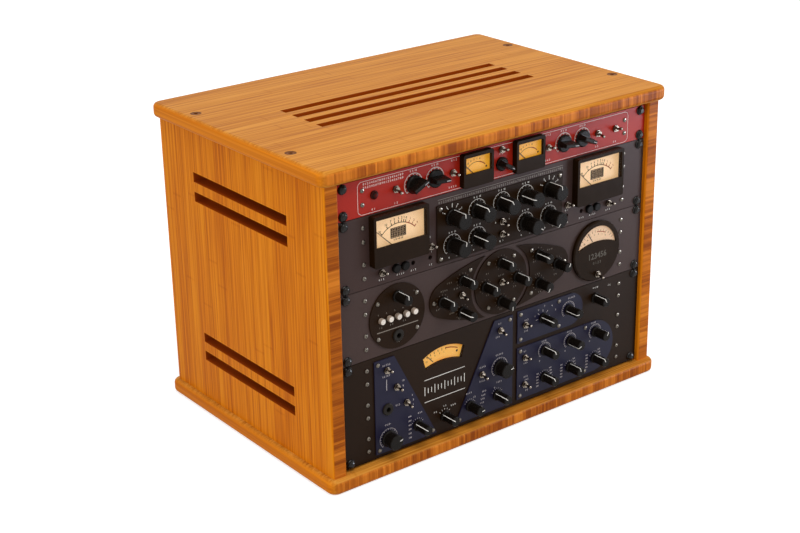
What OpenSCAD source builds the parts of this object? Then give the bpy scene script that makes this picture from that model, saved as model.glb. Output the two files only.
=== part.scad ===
// Desktop rack of bamboo boards with four audio units in it. The two-unit stereo compressor is worked out
// in full. Millimetres, +Z up, the front faces -Y, and the origin is the centre of the base's underside.

/* [Cabinet] */
// Thickness of every board
board_t = 19; // [15:0.5:25]
// Depth of the two sides, front to back
side_depth = 355.6; // [330:0.1:420]
// Reach of the top and the base past the sides, all round
overhang = 7.5; // [3:0.5:15]
// Radius of the long edges of the top and the base
edge_r = 6; // [2:0.5:7]
// Radius of the upright corners of the top and the base
corner_r = 12; // [8:0.5:25]
// Radius of the upright edges of the sides
side_edge_r = 3; // [1:0.5:6]
// Gap between a panel's end and the side
side_gap = 0.8; // [0.4:0.1:3]
// Gap above the highest unit
head_gap = 4; // [1:0.5:8]
// Gap below the lowest unit
foot_gap = 2; // [0.5:0.5:8]
// Setback of the panels behind the front edges of the sides
panel_recess = 6; // [5:0.5:12]
// Width of a vent slot
vent_w = 12.7; // [8:0.1:16]
// Pitch of neighbouring vent slots
vent_pitch = 25.4; // [20:0.1:35]
// Number of vent slots in the top
top_vents = 4; // [1:1:6]
// Length of the vent slots in the top
top_vent_len = 335; // [200:1:400]
// Length of the vent slots in the sides
side_vent_len = 203.2; // [100:0.1:260]
// Height of a pair of side slots above or below the middle of the side
side_vent_rise = 108; // [60:1:130]
// Distance of a cabinet screw from mid depth
cabinet_screw_y = 102; // [60:1:150]
// Head radius of a cabinet screw
cabinet_head_r = 5.5; // [4:0.1:7]
// Height of the straight rim of a cabinet screw's head
cabinet_rim_h = 1.2; // [0.6:0.1:2]
// Setback of a cabinet screw's head below the board's face
cabinet_sink = 0.2; // [0.1:0.1:1]
// Shank radius of a cabinet screw
cabinet_shank_r = 2.5; // [2:0.1:3.5]
// Reach of a cabinet screw into the side
cabinet_screw_grip = 35; // [20:1:60]

/* [Rack panels] */
// Height of one rack unit
unit_h = 44.45; // [44:0.05:46]
// Width of the front panels
panel_w = 482.6; // [480:0.1:490]
// Thickness of the front panels
panel_t = 4.8; // [3:0.1:6]
// Gap between two neighbouring panels
panel_gap = 0.8; // [0.4:0.1:1.5]
// Rack units of the limiter
limiter_units = 1; // [1:1:2]
// Rack units of the compressor
compressor_units = 2; // [2:1:3]
// Rack units of the channel strip
strip_units = 2; // [2:1:3]
// Rack units of the voice processor
voice_units = 3; // [3:1:4]
// Distance of a rack hole from the panel's end
ear_hole_inset = 8.75; // [8:0.05:9.5]
// Distance of a rack hole from the unit's upper and lower bound
ear_hole_edge = 6.35; // [6:0.05:8]
// Length of the slot in a panel ear
ear_slot_len = 10.3; // [8:0.1:12]
// Width of the slot in a panel ear
ear_slot_w = 6.8; // [6:0.1:7.5]
// Thickness of the plates fixed on the panels
plate_t = 1.6; // [1:0.1:3]
// Sheet thickness of the rails
rail_t = 2; // [1.5:0.1:3]
// Width of the rail's front flange
rail_front = 15.5; // [14:0.5:16]
// Depth of the rail's side flange
rail_side = 28; // [20:1:40]
// Gap between a rail and the side of a chassis
rail_clear = 11.6; // [8:0.1:14]

/* [Fasteners] */
// Radius of a rack screw's washer
washer_r = 6; // [5:0.1:6.2]
// Thickness of a rack screw's washer
washer_t = 2; // [1.2:0.1:3]
// Radius of a rack screw's head
rack_head_r = 4.8; // [4:0.1:5.5]
// Height of a rack screw's head above the washer
rack_head_h = 2.6; // [2:0.1:4]
// Reach of a rack screw behind the rail
rack_screw_grip = 4; // [2:0.5:8]
// Shank radius of a rack screw
rack_shank_r = 2.4; // [2:0.1:3]
// Head radius of a panel screw
screw_head_r = 2.7; // [2:0.1:3.5]
// Head height of a panel screw
screw_head_h = 1.6; // [1:0.1:2.5]
// Shank radius of a panel screw
screw_shank_r = 1.4; // [1:0.1:1.8]
// Distance of a panel screw from the chassis side
panel_screw_inset = 9.5; // [6:0.5:14]
// Distance of a panel screw from the middle of its rack unit
panel_screw_rise = 8.5; // [5:0.5:12]
// Distance of a plate screw from the plate's edge
plate_screw_edge = 5; // [4:0.5:8]
// Radial clearance of a screw in its hole
screw_clear = 0.1; // [0.05:0.05:0.3]

/* [Knobs] */
// Radius of the large round knobs
knob_r = 9.6; // [7:0.1:11]
// Height of the large round knobs
knob_h = 25; // [16:0.5:30]
// Height of the low ones among the large round knobs
low_knob_h = 17; // [14:0.5:22]
// Radius of the small round knobs
small_knob_r = 6.2; // [5:0.1:7]
// Height of the small round knobs
small_knob_h = 22.5; // [14:0.5:26]
// Reach of a round knob's skirt past its body
skirt_reach = 0.9; // [0.4:0.1:1.5]
// Height of a round knob's skirt
skirt_h = 2.6; // [1.5:0.1:4]
// Chamfer at a round knob's end
knob_chamfer = 0.9; // [0.4:0.1:1.5]
// Gap between a knob and the surface under it
knob_lift = 0.5; // [0.3:0.1:1]
// Width of the pointer line
line_w = 1.3; // [0.6:0.1:1.6]
// Depth of the pointer line
line_depth = 0.4; // [0.2:0.1:0.8]
// Reach of the pointer line onto a knob's end
line_reach = 5; // [3:0.5:6]
// Shaft radius of every knob
shaft_r = 3; // [2.5:0.1:3.5]
// Radial clearance of a shaft in its bush
shaft_clear = 0.1; // [0.05:0.05:0.2]
// Skirt radius of the bar knobs
bar_knob_r = 11; // [8:0.5:13]
// Skirt radius of the middle bar knob
middle_knob_r = 8.5; // [7:0.5:10]
// Skirt height of the bar knobs
bar_skirt_h = 4.5; // [3:0.5:6]
// Full height of the bar knobs
bar_knob_h = 17; // [12:0.5:22]
// Width of the bar at its foot
bar_foot_w = 8; // [6:0.5:10]
// Width of the bar at its top
bar_top_w = 4.6; // [3:0.2:6]

/* [Toggle switches] */
// Outer radius of the threaded bush
bush_r = 3.3; // [3:0.1:4]
// Height of the bush above its surface
bush_h = 4.6; // [4:0.2:6]
// Corner radius of the hexagon nut
nut_r = 4.6; // [4.2:0.1:6]
// Height of the hexagon nut
nut_h = 2; // [1.5:0.1:3]
// Radius of the lever's ball
ball_r = 2.35; // [2:0.05:2.6]
// Radial clearance of the ball in the bush
ball_clear = 0.15; // [0.1:0.05:0.3]
// Height of the lever's pivot above the surface
pivot_h = 2.6; // [2.4:0.1:3.2]
// Radius of the lever at the ball
lever_root_r = 1.1; // [0.9:0.1:1.3]
// Radius of the lever's tip
lever_tip_r = 1.9; // [1.4:0.1:2.4]
// Length from the pivot to the middle of the tip
lever_len = 9; // [7:0.5:12]
// Tilt of a lever from the middle
lever_tilt = 13; // [8:1:14]
// Width of a switch body behind the panel
switch_w = 7; // [5:0.5:9]
// Height of a switch body behind the panel
switch_h = 12.7; // [10:0.1:14]
// Depth of a switch body behind the panel
switch_d = 10; // [8:0.5:16]

/* [Limiter] */
// Depth of the limiter's chassis
limiter_depth = 200; // [150:1:260]
// Distance of an inner bar knob from the middle
limiter_knob_x = 101; // [97:0.5:104]
// Pitch of an inner and an outer bar knob
limiter_knob_pitch = 31.5; // [28:0.5:34]
// Height of the middle knob below the panel's middle
middle_knob_drop = 4.5; // [3:0.5:6]
// Height of the middle toggle above the panel's middle
middle_toggle_rise = 13.5; // [12:0.5:14]
// Distance of a meter from the middle
small_meter_x = 41; // [40:0.5:43]
// Width of a limiter meter
small_meter_w = 46; // [40:0.5:48]
// Height of a limiter meter
small_meter_h = 41; // [38:0.5:42]
// Depth of a limiter meter in front of the panel
small_meter_d = 8; // [7:0.5:12]
// Height of a limiter meter's window
small_window_h = 19.5; // [14:0.5:22]
// Distance of a limiter toggle from its neighbour's middle
limiter_toggle_step = 26; // [24:0.5:27]
// Distance of the power toggle and the lamp from the middle
limiter_end_x = 189; // [184:0.5:194]
// Radius of the pilot lamp's bezel
lamp_r = 5.2; // [4:0.1:6]

/* [Compressor] */
// Depth of the compressor's chassis
compressor_depth = 250; // [230:1:280]
// Pitch of the compressor's knobs along a row
knob_pitch = 38.4; // [32:0.1:40]
// Height of the upper knob row above the panel's middle
knob_row_upper = 14; // [12:0.5:16]
// Distance from the upper knob row to the lower one
knob_row_pitch = 35; // [30:0.5:37]
// Height of the control plate
plate_h = 72; // [68:0.5:74]
// Height of the control plate's middle below the panel's middle
plate_drop = 4; // [3:0.5:6]
// Corner radius of the control plate
plate_corner_r = 2; // [1:0.5:5]
// Distance of an inner toggle from the control plate
inner_toggle_gap = 9.5; // [8:0.5:10]
// Height of an inner toggle below the panel's middle
inner_toggle_drop = 15; // [13:0.5:18]
// Height of the lower fittings below the panel's middle
fitting_drop = 29.5; // [28:0.5:32]
// Height of the upper middle toggle below the panel's middle
link_toggle_drop = 10; // [9:0.5:11]
// Distance between the two middle toggles
middle_toggle_pitch = 16; // [14:0.5:18]
// Distance of an outer toggle from the meter's middle
outer_toggle_x = 23.5; // [20:0.5:26]
// Radius of a trimmer cap
cap_r = 5.5; // [4:0.1:6]
// Height of a trimmer cap
cap_h = 4; // [2:0.5:6]
// Pitch of two trimmer caps
cap_pitch = 13; // [12.5:0.5:15]
// Radius of a trimmer access hole
access_r = 2.8; // [2:0.1:3.5]
// Pitch of two trimmer access holes
access_pitch = 25.5; // [20:0.5:26]
// Width of a compressor meter
meter_w = 79.5; // [70:0.5:82]
// Height of a compressor meter
meter_h = 62; // [56:0.5:63]
// Depth of a compressor meter in front of the panel
meter_d = 10; // [9:0.5:16]
// Distance of a meter's edge from the line of the panel screws
meter_screw_gap = 8.25; // [6:0.25:10]
// Distance of a meter from the inner toggle
meter_toggle_gap = 8.75; // [7:0.25:10]
// Height of a meter's middle above the panel's middle
meter_rise = 12; // [10:0.5:12.5]
// Height of a compressor meter's window
window_h = 33; // [26:0.5:36]
// Radius of a meter's round body behind the panel
meter_body_r = 25; // [20:0.5:27]
// Length of a meter's round body
meter_body_len = 28; // [15:0.5:40]
// Radius of a potentiometer's can
pot_r = 11; // [8:0.5:14]
// Depth of a potentiometer's can
pot_d = 13; // [8:0.5:18]
// Radius of a potentiometer's bush
pot_bush_r = 4.7; // [4:0.1:5.2]

/* [Meter parts] */
// Side wall of a meter case
meter_wall = 2; // [1.5:0.1:3]
// Front and back wall of a meter case
meter_face = 1.8; // [1.2:0.1:2]
// Height of the rim above a meter's window
meter_rim = 4.4; // [4:0.1:6]
// Seat of the glass behind the window's edge
glass_lip = 1.5; // [0.8:0.1:2]
// Thickness of a meter's glass
glass_t = 1; // [0.8:0.1:1.4]
// Thickness of a dial plate
dial_t = 0.8; // [0.5:0.1:1.2]
// Corner radius of a meter case
meter_corner_r = 2.5; // [1:0.5:4]
// Height of the needle's pivot above the foot of the meter
needle_rise = 12; // [9:0.5:14]
// Swing of the needle to each side
needle_swing = 47; // [30:1:48]
// Width of the needle at its hub
needle_w = 1.4; // [0.8:0.1:2]
// Thickness of the needle
needle_t = 0.6; // [0.4:0.1:1]
// Radius of the needle's hub
hub_r = 3; // [2.4:0.1:4]
// Radius of the needle's pivot pin
pin_r = 0.8; // [0.6:0.1:1.2]
// Radial clearance of the hub on its pin
pin_clear = 0.1; // [0.05:0.05:0.2]

/* [Channel strip] */
// Depth of the channel strip's chassis
strip_depth = 220; // [150:1:260]
// Distance of the round plate and the round meter from the middle
round_x = 160; // [157:0.5:162]
// Radius of the round plate and the round meter
round_r = 40.5; // [38:0.5:42]
// Radius of the round centre plate
centre_r = 42; // [40:0.5:43]
// Gap between the centre plate and a leaf plate
leaf_gap = 5.5; // [4:0.5:8]
// Distance of a leaf's tip from the middle
leaf_tip_x = 112; // [110:0.5:116]
// Height of the leaf outline above the middle
leaf_rise = 41.5; // [40:0.5:43]
// Radius of a leaf's blunt tip
leaf_tip_r = 23; // [18:0.5:28]
// Distance of a small knob from the centre of its round plate
small_knob_x = 25.5; // [23:0.5:28]
// Radius of a push button
button_r = 3.8; // [3:0.1:4.5]
// Height of a push button above its plate
button_h = 4.5; // [3.5:0.5:6]
// Pitch of the push buttons
button_pitch = 12; // [10:0.5:13]
// Travel of a push button
button_travel = 2; // [1:0.1:2.5]
// Radial clearance of a push button in its hole
button_clear = 0.3; // [0.2:0.05:0.4]
// Thickness of the round meter
round_meter_d = 5; // [4.5:0.1:7]
// Radius of the round meter's window
round_window_r = 34; // [32:0.5:35]
// Height of the round toggle below the meter's centre
round_toggle_drop = 31; // [29:0.5:33]

/* [Voice processor] */
// Depth of the voice processor's chassis
voice_depth = 250; // [150:1:280]
// Pitch of the equaliser knobs along a row
eq_pitch = 44.5; // [40:0.5:46]
// Pitch of the two rows of equaliser knobs
eq_row_pitch = 37.5; // [34:0.5:40]
// Height of the equaliser knobs' middle above their plate's middle
eq_knob_rise = 2; // [0:0.5:3]
// Height of the equaliser plate
eq_plate_h = 72; // [66:0.5:74]
// Height of the de-esser plate
esser_plate_h = 44; // [40:0.5:46]
// Radius of the arc window's upper edge
arc_outer_r = 63; // [60:1:70]
// Radius of the arc window's lower edge
arc_inner_r = 86; // [80:1:95]
// Height of the arc window
arc_h = 19.5; // [15:0.5:22]
// Half width of the arc window at the level of its top
arc_half_top = 35.5; // [32:0.5:38]
// Half width of the arc window at the foot of its ends
arc_half_foot = 26.5; // [24:0.5:30]
// Height over which the arc window's ends slope
arc_slope_h = 27; // [24:0.5:32]

/* [Sockets] */
// Radius of the jack socket's ring
jack_r = 7.5; // [6:0.5:9]
// Height of the jack socket's ring
jack_h = 2.5; // [1.5:0.5:4]
// Radius of the jack socket's barrel
jack_barrel_r = 5.5; // [4.5:0.1:6]
// Length of the jack socket's barrel behind the panel
jack_len = 22; // [16:1:30]
// Radius of the jack socket's bore
jack_bore_r = 3.25; // [3.2:0.01:3.4]
// Flange width of a rear socket
xlr_w = 26; // [24:0.5:28]
// Flange height of a rear socket
xlr_h = 31; // [28:0.5:32]
// Flange thickness of a rear socket
xlr_t = 1.6; // [1:0.1:3]
// Radius of a rear socket's barrel
xlr_r = 11.3; // [10:0.1:12]
// Radius of an output socket's recess
xlr_recess_r = 9; // [8:0.1:10]
// Depth of an output socket's recess
xlr_recess = 14; // [11:0.5:18]
// Distance of the first input socket from the middle
input_x = 190; // [186:1:196]
// Pitch of two like rear sockets
socket_pitch = 40; // [36:1:45]
// Distance of the mains inlet from the middle
inlet_x = 195; // [189:1:197]
// Flange width of a mains inlet
inlet_w = 31; // [30:0.5:34]
// Flange height of a mains inlet
inlet_h = 25; // [23:0.5:28]
// Depth of a mains inlet's recess
inlet_recess = 15; // [12:0.5:18]

/* [Chassis] */
// Gap between a chassis and the bounds of its rack space
chassis_gap = 1.5; // [1:0.1:3]
// Sheet thickness of every chassis and cover
sheet_t = 1.5; // [1:0.1:2]
// Height of the posts under the circuit board
post_h = 8; // [5:0.5:12]
// Radius of the posts under the circuit board
post_r = 3; // [2.4:0.1:4]
// Width of the circuit board
board_w = 220; // [200:1:230]
// Depth of the circuit board
board_d = 125; // [110:1:140]
// Thickness of the circuit board
circuit_t = 1.6; // [1:0.1:2.4]
// Distance of the circuit board's middle behind the panel
circuit_setback = 122; // [110:1:130]
// Offset of the circuit board's middle to the left
circuit_shift = 30; // [20:1:40]
// Glass radius of a valve
valve_r = 10.5; // [8:0.1:12]
// Glass height of a valve
valve_h = 44; // [30:1:48]
// Pitch of the valves along the board
valve_pitch = 34; // [30:0.5:36]
// Distance of the valves behind the board's middle
valve_setback = 20; // [10:1:30]
// Radius of the mains transformer
toroid_r = 44; // [36:1:48]
// Height of the mains transformer
toroid_h = 44; // [30:1:60]
// Gap between the mains transformer and the side of its chassis
toroid_side_gap = 18; // [10:1:24]
// Gap between the mains transformer and the rear of its chassis
toroid_rear_gap = 50; // [40:1:70]
// Width of an audio transformer
core_w = 40; // [30:1:44]
// Depth of an audio transformer
core_d = 46; // [36:1:52]
// Height of an audio transformer
core_h = 48; // [36:1:60]
// Gap between an audio transformer and the side of its chassis
core_side_gap = 10; // [6:1:14]
// Distance of the first audio transformer behind the panel
core_setback = 95; // [80:1:120]
// Gap between the two audio transformers
core_gap = 16; // [8:1:24]

/* [Hidden] */
$fn = 48;
eps = 0.01;

// Cabinet heights and widths that follow from the rack
rack_h = (limiter_units + compressor_units + strip_units + voice_units) * unit_h;
side_h = rack_h + head_gap + foot_gap;
inner_x = panel_w / 2 + side_gap;
outer_x = inner_x + board_t;
top_w = 2 * (outer_x + overhang);
top_d = side_depth + 2 * overhang;
side_mid_z = board_t + side_h / 2;
screw_x = (inner_x + outer_x) / 2;
chassis_w = 2 * (inner_x - rail_front - rail_clear);
panel_screw_x = chassis_w / 2 - panel_screw_inset;
cabinet_rim_z = -cabinet_sink - cabinet_rim_h;
panel_y = -side_depth / 2 + panel_recess;
panel_back = panel_y + panel_t;

// Height of each unit's middle
voice_z = board_t + foot_gap + voice_units * unit_h / 2;
strip_z = voice_z + (voice_units + strip_units) * unit_h / 2;
compressor_z = strip_z + (strip_units + compressor_units) * unit_h / 2;
limiter_z = compressor_z + (compressor_units + limiter_units) * unit_h / 2;

// Layout of the limiter: x, height, and the turn of each pointer from twelve o'clock
limiter_outer_x = limiter_knob_x + limiter_knob_pitch;
limiter_inner_toggle = limiter_knob_x - limiter_toggle_step;
limiter_outer_toggle = limiter_outer_x + limiter_toggle_step;
limiter_knob_spots = [[-limiter_outer_x, 0], [-limiter_knob_x, 0], [0, -middle_knob_drop],
    [limiter_knob_x, 0], [limiter_outer_x, 0]];
limiter_turns = [64, 95, 120, 98, 115];
limiter_toggle_spots = [[-limiter_outer_toggle, 0, -1], [-limiter_inner_toggle, 1, 0],
    [0, middle_toggle_rise, 1], [limiter_inner_toggle, 0, 1], [limiter_outer_toggle, 1, -1],
    [limiter_end_x, 1, 1]];

// Layout of the compressor
knob_row_lower = knob_row_upper - knob_row_pitch;
compressor_knob_spots = concat([for (k = [-2 : 2]) [k * knob_pitch, knob_row_upper]],
    [for (k = [-2, -1, 1, 2]) [k * knob_pitch, knob_row_lower]]);
compressor_turns = [0, -26, -28, -74, -8, 10, -58, 120, -145];
meter_x = panel_screw_x - meter_screw_gap - meter_w / 2;
inner_toggle_x = meter_x - meter_w / 2 - meter_toggle_gap;
plate_w = 2 * (inner_toggle_x - inner_toggle_gap);
compressor_toggle_spots = [[-meter_x - outer_toggle_x, -fitting_drop, 1],
    [-inner_toggle_x, -inner_toggle_drop, 1], [0, -link_toggle_drop, -1],
    [0, -link_toggle_drop - middle_toggle_pitch, 1],
    [inner_toggle_x, -inner_toggle_drop, 1], [meter_x + outer_toggle_x, -fitting_drop, 1]];
compressor_toggle_lifts = [0, 0, plate_t, plate_t, 0, 0];
cap_spots = [for (s = [-1, 1], k = [0, 1]) [s * (meter_x + 2.5 - k * cap_pitch), -fitting_drop]];
access_spots = [for (s = [-1, 1], k = [0, 1]) [s * (inner_toggle_x + k * access_pitch), -fitting_drop]];

// Layout of the channel strip
leaf_knobs = [[-61, 18.5], [-92.5, -1], [-62, -23], [61, 20], [92.5, 0.5], [62, -18]];
strip_knob_spots = concat([[-round_x, small_knob_x]], leaf_knobs,
    [[0, small_knob_x], [-small_knob_x, 0], [small_knob_x, 0], [0, -small_knob_x]]);
strip_turns = [0, -8, 0, -66, -52, 32, -150, -8, 0, -3, 180];
strip_toggle_spots = [[-63.5, 0, -1], [0, 0, 1]];
strip_jack = [-round_x, -24.5];
button_foot = button_travel + 0.4 - plate_t - panel_t;
round_screw_r = round_r - 4.2;
centre_screw_r = centre_r - 6.3;
leaf_tip_mid = leaf_tip_x - leaf_tip_r;
leaf_r = (leaf_tip_mid * leaf_tip_mid + leaf_rise * leaf_rise - leaf_tip_r * leaf_tip_r)
    / (2 * (leaf_rise - leaf_tip_r));
leaf_joint_x = leaf_r * leaf_tip_mid / (leaf_r - leaf_tip_r);
leaf_screws = [[leaf_tip_x - 6.5, 0], [49.5, 28.5], [49.5, -28.5]];

// Layout of the voice processor
plate_top = voice_units * unit_h / 2 - 5.5;
vee_x = -88;
vee_half_top = 78;
vee_half_foot = 15;
vee_left_end = -195.5;
vee_right_end = 20;
block_x = 28;
eq_mid = -24;
esser_mid = 40.5;
eq_end_x = 161;
esser_end_x = 118;
eq_first_x = 74.5;
eq_row_upper = eq_mid + eq_knob_rise + eq_row_pitch / 2;
eq_row_lower = eq_mid + eq_knob_rise - eq_row_pitch / 2;
voice_foot_row = -41;
voice_knob_spots = concat([[-176.8, voice_foot_row - 3], [-132.8, voice_foot_row],
    [vee_x - 1, voice_foot_row - 2.6], [-50, voice_foot_row - 1], [-5.6, voice_foot_row], [-1.5, -4],
    [70.5, esser_mid + 2], [114.5, esser_mid + 1.5], [163, esser_mid + 3.8]],
    [for (k = [0, 1, 2]) [eq_first_x + k * eq_pitch, eq_row_upper]],
    [for (k = [0, 1, 2]) [eq_first_x + k * eq_pitch, eq_row_lower]]);
voice_turns = [75, -52, -52, 85, -50, 75, -57, -88, -25, -18, -112, 30, -25, -14, -22];
voice_knob_lifts = [1, 1, 0, 1, 1, 1, 1, 1, 0, 1, 1, 1, 1, 1, 1];
low_voice_knobs = [0, 5];
voice_toggle_spots = [[-178, 46.5, 1], [-164, 20.5, 0], [-149.5, -4.5, -1], [-1.5, 46.5, -1],
    [-31.5, -4.5, -1], [40, esser_mid + 1.5, 1], [40, eq_row_upper, 1], [40, eq_row_lower, 0]];
voice_jack = [-177.5, -5];
arc_top = [-89.5, 51];

// Sizes inside the meters
needle_z = meter_face + dial_t + 1.4;
needle_len = meter_h - meter_wall - needle_rise - 1.6;

// Rear sockets of each unit: inputs and outputs from the left
stereo_inputs = [-input_x, -input_x + socket_pitch];
stereo_outputs = [-input_x + 2.3 * socket_pitch, -input_x + 3.3 * socket_pitch];
mono_inputs = [-input_x];
mono_outputs = [-input_x + 2.3 * socket_pitch];
limiter_rear = panel_back + limiter_depth;
compressor_rear = panel_back + compressor_depth;
strip_rear = panel_back + strip_depth;
voice_rear = panel_back + voice_depth;
jack_depth = plate_t + panel_t + jack_len;
xlr_depth = xlr_recess + 2;
inlet_depth = inlet_recess + 2;
inlet_body_w = inlet_w - 4;
inlet_body_h = inlet_h - 5;

// Turns the panel drawing plane to the front of a unit: x right, y up, z out of the panel
module front(z) translate([0, panel_y, z]) rotate([90, 0, 0]) children();

// Turns the drawing plane to the rear of a unit: x along the panel, z out of the rear
module rear(x, y, z) translate([x, y, z]) rotate([-90, 0, 0]) children();

module at(spot) translate([spot[0], spot[1], 0]) children();

module rounded_square(w, h, r) {
    square([w - 2 * r, h], center = true);
    square([w, h - 2 * r], center = true);
    for (x = [-1, 1], y = [-1, 1]) translate([x * (w / 2 - r), y * (h / 2 - r)]) circle(r);
}

module slot_shape(len, w) {
    square([len - w, w], center = true);
    for (s = [-1, 1]) translate([s * (len - w) / 2, 0]) circle(w / 2);
}

// Cabinet boards

module board_section(w, t, r) translate([0, t / 2]) rounded_square(w, t, r);

module board_rim(w, t, r) {
    square([w - r, t]);
    translate([0, r]) square([w, t - 2 * r]);
    intersection() {
        translate([w - r, 0]) square([r, t]);
        for (y = [r, t - r]) translate([w - r, y]) circle(r);
    }
}

module rounded_board(w, d, t, r, c) {
    rotate([90, 0, 90]) linear_extrude(w - 2 * c, center = true) board_section(d, t, r);
    for (turn = [0, 180]) rotate([0, 0, turn]) {
        translate([w / 2 - c, 0, 0]) rotate([90, 0, 0]) linear_extrude(d - 2 * c, center = true)
            board_rim(c, t, r);
        translate([w / 2 - c, d / 2 - c, 0]) rotate_extrude(angle = 90) board_rim(c, t, r);
        translate([w / 2 - c, c - d / 2, 0]) rotate([0, 0, -90]) rotate_extrude(angle = 90)
            board_rim(c, t, r);
    }
}

module cabinet_screw_holes(z) {
    for (x = [-screw_x, screw_x], y = [-cabinet_screw_y, cabinet_screw_y]) translate([x, y, z]) {
        translate([0, 0, -board_t - cabinet_screw_grip - 2])
            cylinder(r = cabinet_shank_r + screw_clear, h = board_t + cabinet_screw_grip + 3);
        translate([0, 0, cabinet_rim_z + cabinet_shank_r - cabinet_head_r])
            cylinder(r1 = cabinet_shank_r + screw_clear, r2 = cabinet_head_r + screw_clear,
                h = cabinet_head_r - cabinet_shank_r);
        translate([0, 0, cabinet_rim_z - eps])
            cylinder(r = cabinet_head_r + screw_clear, h = 1 - cabinet_rim_z);
    }
}

module top_holes() cabinet_screw_holes(2 * board_t + side_h);

module base_holes() mirror([0, 0, 1]) cabinet_screw_holes(0);

module cabinet_base() color([0.72, 0.46, 0.2]) difference() {
    rounded_board(top_w, top_d, board_t, edge_r, corner_r);
    base_holes();
}

module cabinet_top() color([0.78, 0.52, 0.26]) difference() {
    translate([0, 0, board_t + side_h]) rounded_board(top_w, top_d, board_t, edge_r, corner_r);
    for (k = [0 : top_vents - 1])
        translate([0, (k - (top_vents - 1) / 2) * vent_pitch, 1.5 * board_t + side_h])
            cube([top_vent_len, vent_w, board_t + 2], center = true);
    top_holes();
}

module side_board() difference() {
    translate([screw_x, 0, board_t]) linear_extrude(side_h) rounded_square(board_t, side_depth, side_edge_r);
    for (s = [-1, 1], k = [-0.5, 0.5])
        translate([screw_x, 0, side_mid_z + s * side_vent_rise + k * vent_pitch])
            cube([board_t + 2, side_vent_len, vent_w], center = true);
    top_holes();
    base_holes();
}

module left_side() color([0.74, 0.45, 0.17]) mirror([1, 0, 0]) side_board();

module right_side() color([0.74, 0.45, 0.17]) side_board();

// A countersunk screw with a hexagon socket, its head just below the surface
module cabinet_screw() {
    difference() {
        union() {
            translate([0, 0, cabinet_rim_z]) cylinder(r = cabinet_head_r, h = cabinet_rim_h);
            translate([0, 0, cabinet_rim_z + cabinet_shank_r - cabinet_head_r])
                cylinder(r1 = cabinet_shank_r, r2 = cabinet_head_r, h = cabinet_head_r - cabinet_shank_r);
            translate([0, 0, -board_t - cabinet_screw_grip])
                cylinder(r = cabinet_shank_r, h = board_t + cabinet_screw_grip + cabinet_rim_z - 1);
        }
        translate([0, 0, cabinet_rim_z - 1.2]) cylinder(r = cabinet_head_r / 2, h = 4, $fn = 6);
    }
}

module cabinet_screws() color([0.12, 0.1, 0.09])
    for (x = [-screw_x, screw_x], y = [-cabinet_screw_y, cabinet_screw_y]) {
        translate([x, y, 2 * board_t + side_h]) cabinet_screw();
        translate([x, y, 0]) mirror([0, 0, 1]) cabinet_screw();
    }

// Rack rails and rack screws

module ear_spots(units) {
    for (x = [-1, 1], y = [-1, 1])
        translate([x * (panel_w / 2 - ear_hole_inset), y * (units * unit_h / 2 - ear_hole_edge)]) children();
}

module all_ear_spots() {
    front(limiter_z) ear_spots(limiter_units) children();
    front(compressor_z) ear_spots(compressor_units) children();
    front(strip_z) ear_spots(strip_units) children();
    front(voice_z) ear_spots(voice_units) children();
}

module rail() difference() {
    translate([inner_x, panel_back, board_t]) linear_extrude(side_h) {
        translate([-rail_front, 0]) square([rail_front, rail_t]);
        translate([-rail_t, 0]) square([rail_t, rail_side]);
    }
    for (k = [0 : rack_h / unit_h - 1], y = [ear_hole_edge, unit_h / 2, unit_h - ear_hole_edge])
        translate([panel_w / 2 - ear_hole_inset, panel_back - 1, board_t + foot_gap + k * unit_h + y])
            rotate([-90, 0, 0]) cylinder(r = rack_shank_r + screw_clear, h = rail_t + 2);
}

module rack_rails() color([0.3, 0.3, 0.32]) {
    rail();
    mirror([1, 0, 0]) rail();
}

module rack_screws() color([0.08, 0.08, 0.08]) all_ear_spots() {
    rotate_extrude() polygon([[0, 0], [washer_r, 0], [washer_r, 0.4 * washer_t],
        [rack_head_r + 0.4, washer_t], [rack_head_r, washer_t], [rack_head_r, washer_t + 0.3 * rack_head_h],
        [0.7 * rack_head_r, washer_t + 0.8 * rack_head_h], [rack_head_r / 2, washer_t + rack_head_h],
        [0, washer_t + rack_head_h]]);
    translate([0, 0, -panel_t - rail_t - rack_screw_grip])
        cylinder(r = rack_shank_r, h = panel_t + rail_t + rack_screw_grip + eps);
}

// Panels and chassis

function unit_screws(units) = [for (x = [-1, 1], u = [0 : units - 1], e = [-1, 1])
    [x * panel_screw_x, (u - (units - 1) / 2) * unit_h + e * panel_screw_rise]];

module panel_shape(units) difference() {
    square([panel_w, units * unit_h - panel_gap], center = true);
    ear_spots(units) slot_shape(ear_slot_len, ear_slot_w);
    for (p = unit_screws(units)) translate(p) circle(screw_shank_r + screw_clear);
}

module shaft_hole() circle(shaft_r + shaft_clear);

module bush_hole() circle(bush_r + screw_clear);

// A closed sheet chassis, open only where the panel covers its front
module chassis_shell(units, z, depth) difference() {
    translate([-chassis_w / 2, panel_back, z - units * unit_h / 2 + chassis_gap])
        cube([chassis_w, depth, units * unit_h - 2 * chassis_gap]);
    translate([sheet_t - chassis_w / 2, panel_back - 1, z - units * unit_h / 2 + chassis_gap + sheet_t])
        cube([chassis_w - 2 * sheet_t, depth + 1 - sheet_t, units * unit_h - 2 * (chassis_gap + sheet_t)]);
}

module rear_holes(y, z, inputs, outputs) {
    for (x = concat(inputs, outputs)) rear(x, y, z) translate([0, 0, -sheet_t - 1])
        cylinder(r = xlr_r + screw_clear, h = sheet_t + 2);
    rear(inlet_x, y, z)
        cube([inlet_body_w + 2 * screw_clear, inlet_body_h + 2 * screw_clear, 4 * sheet_t], center = true);
}

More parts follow.
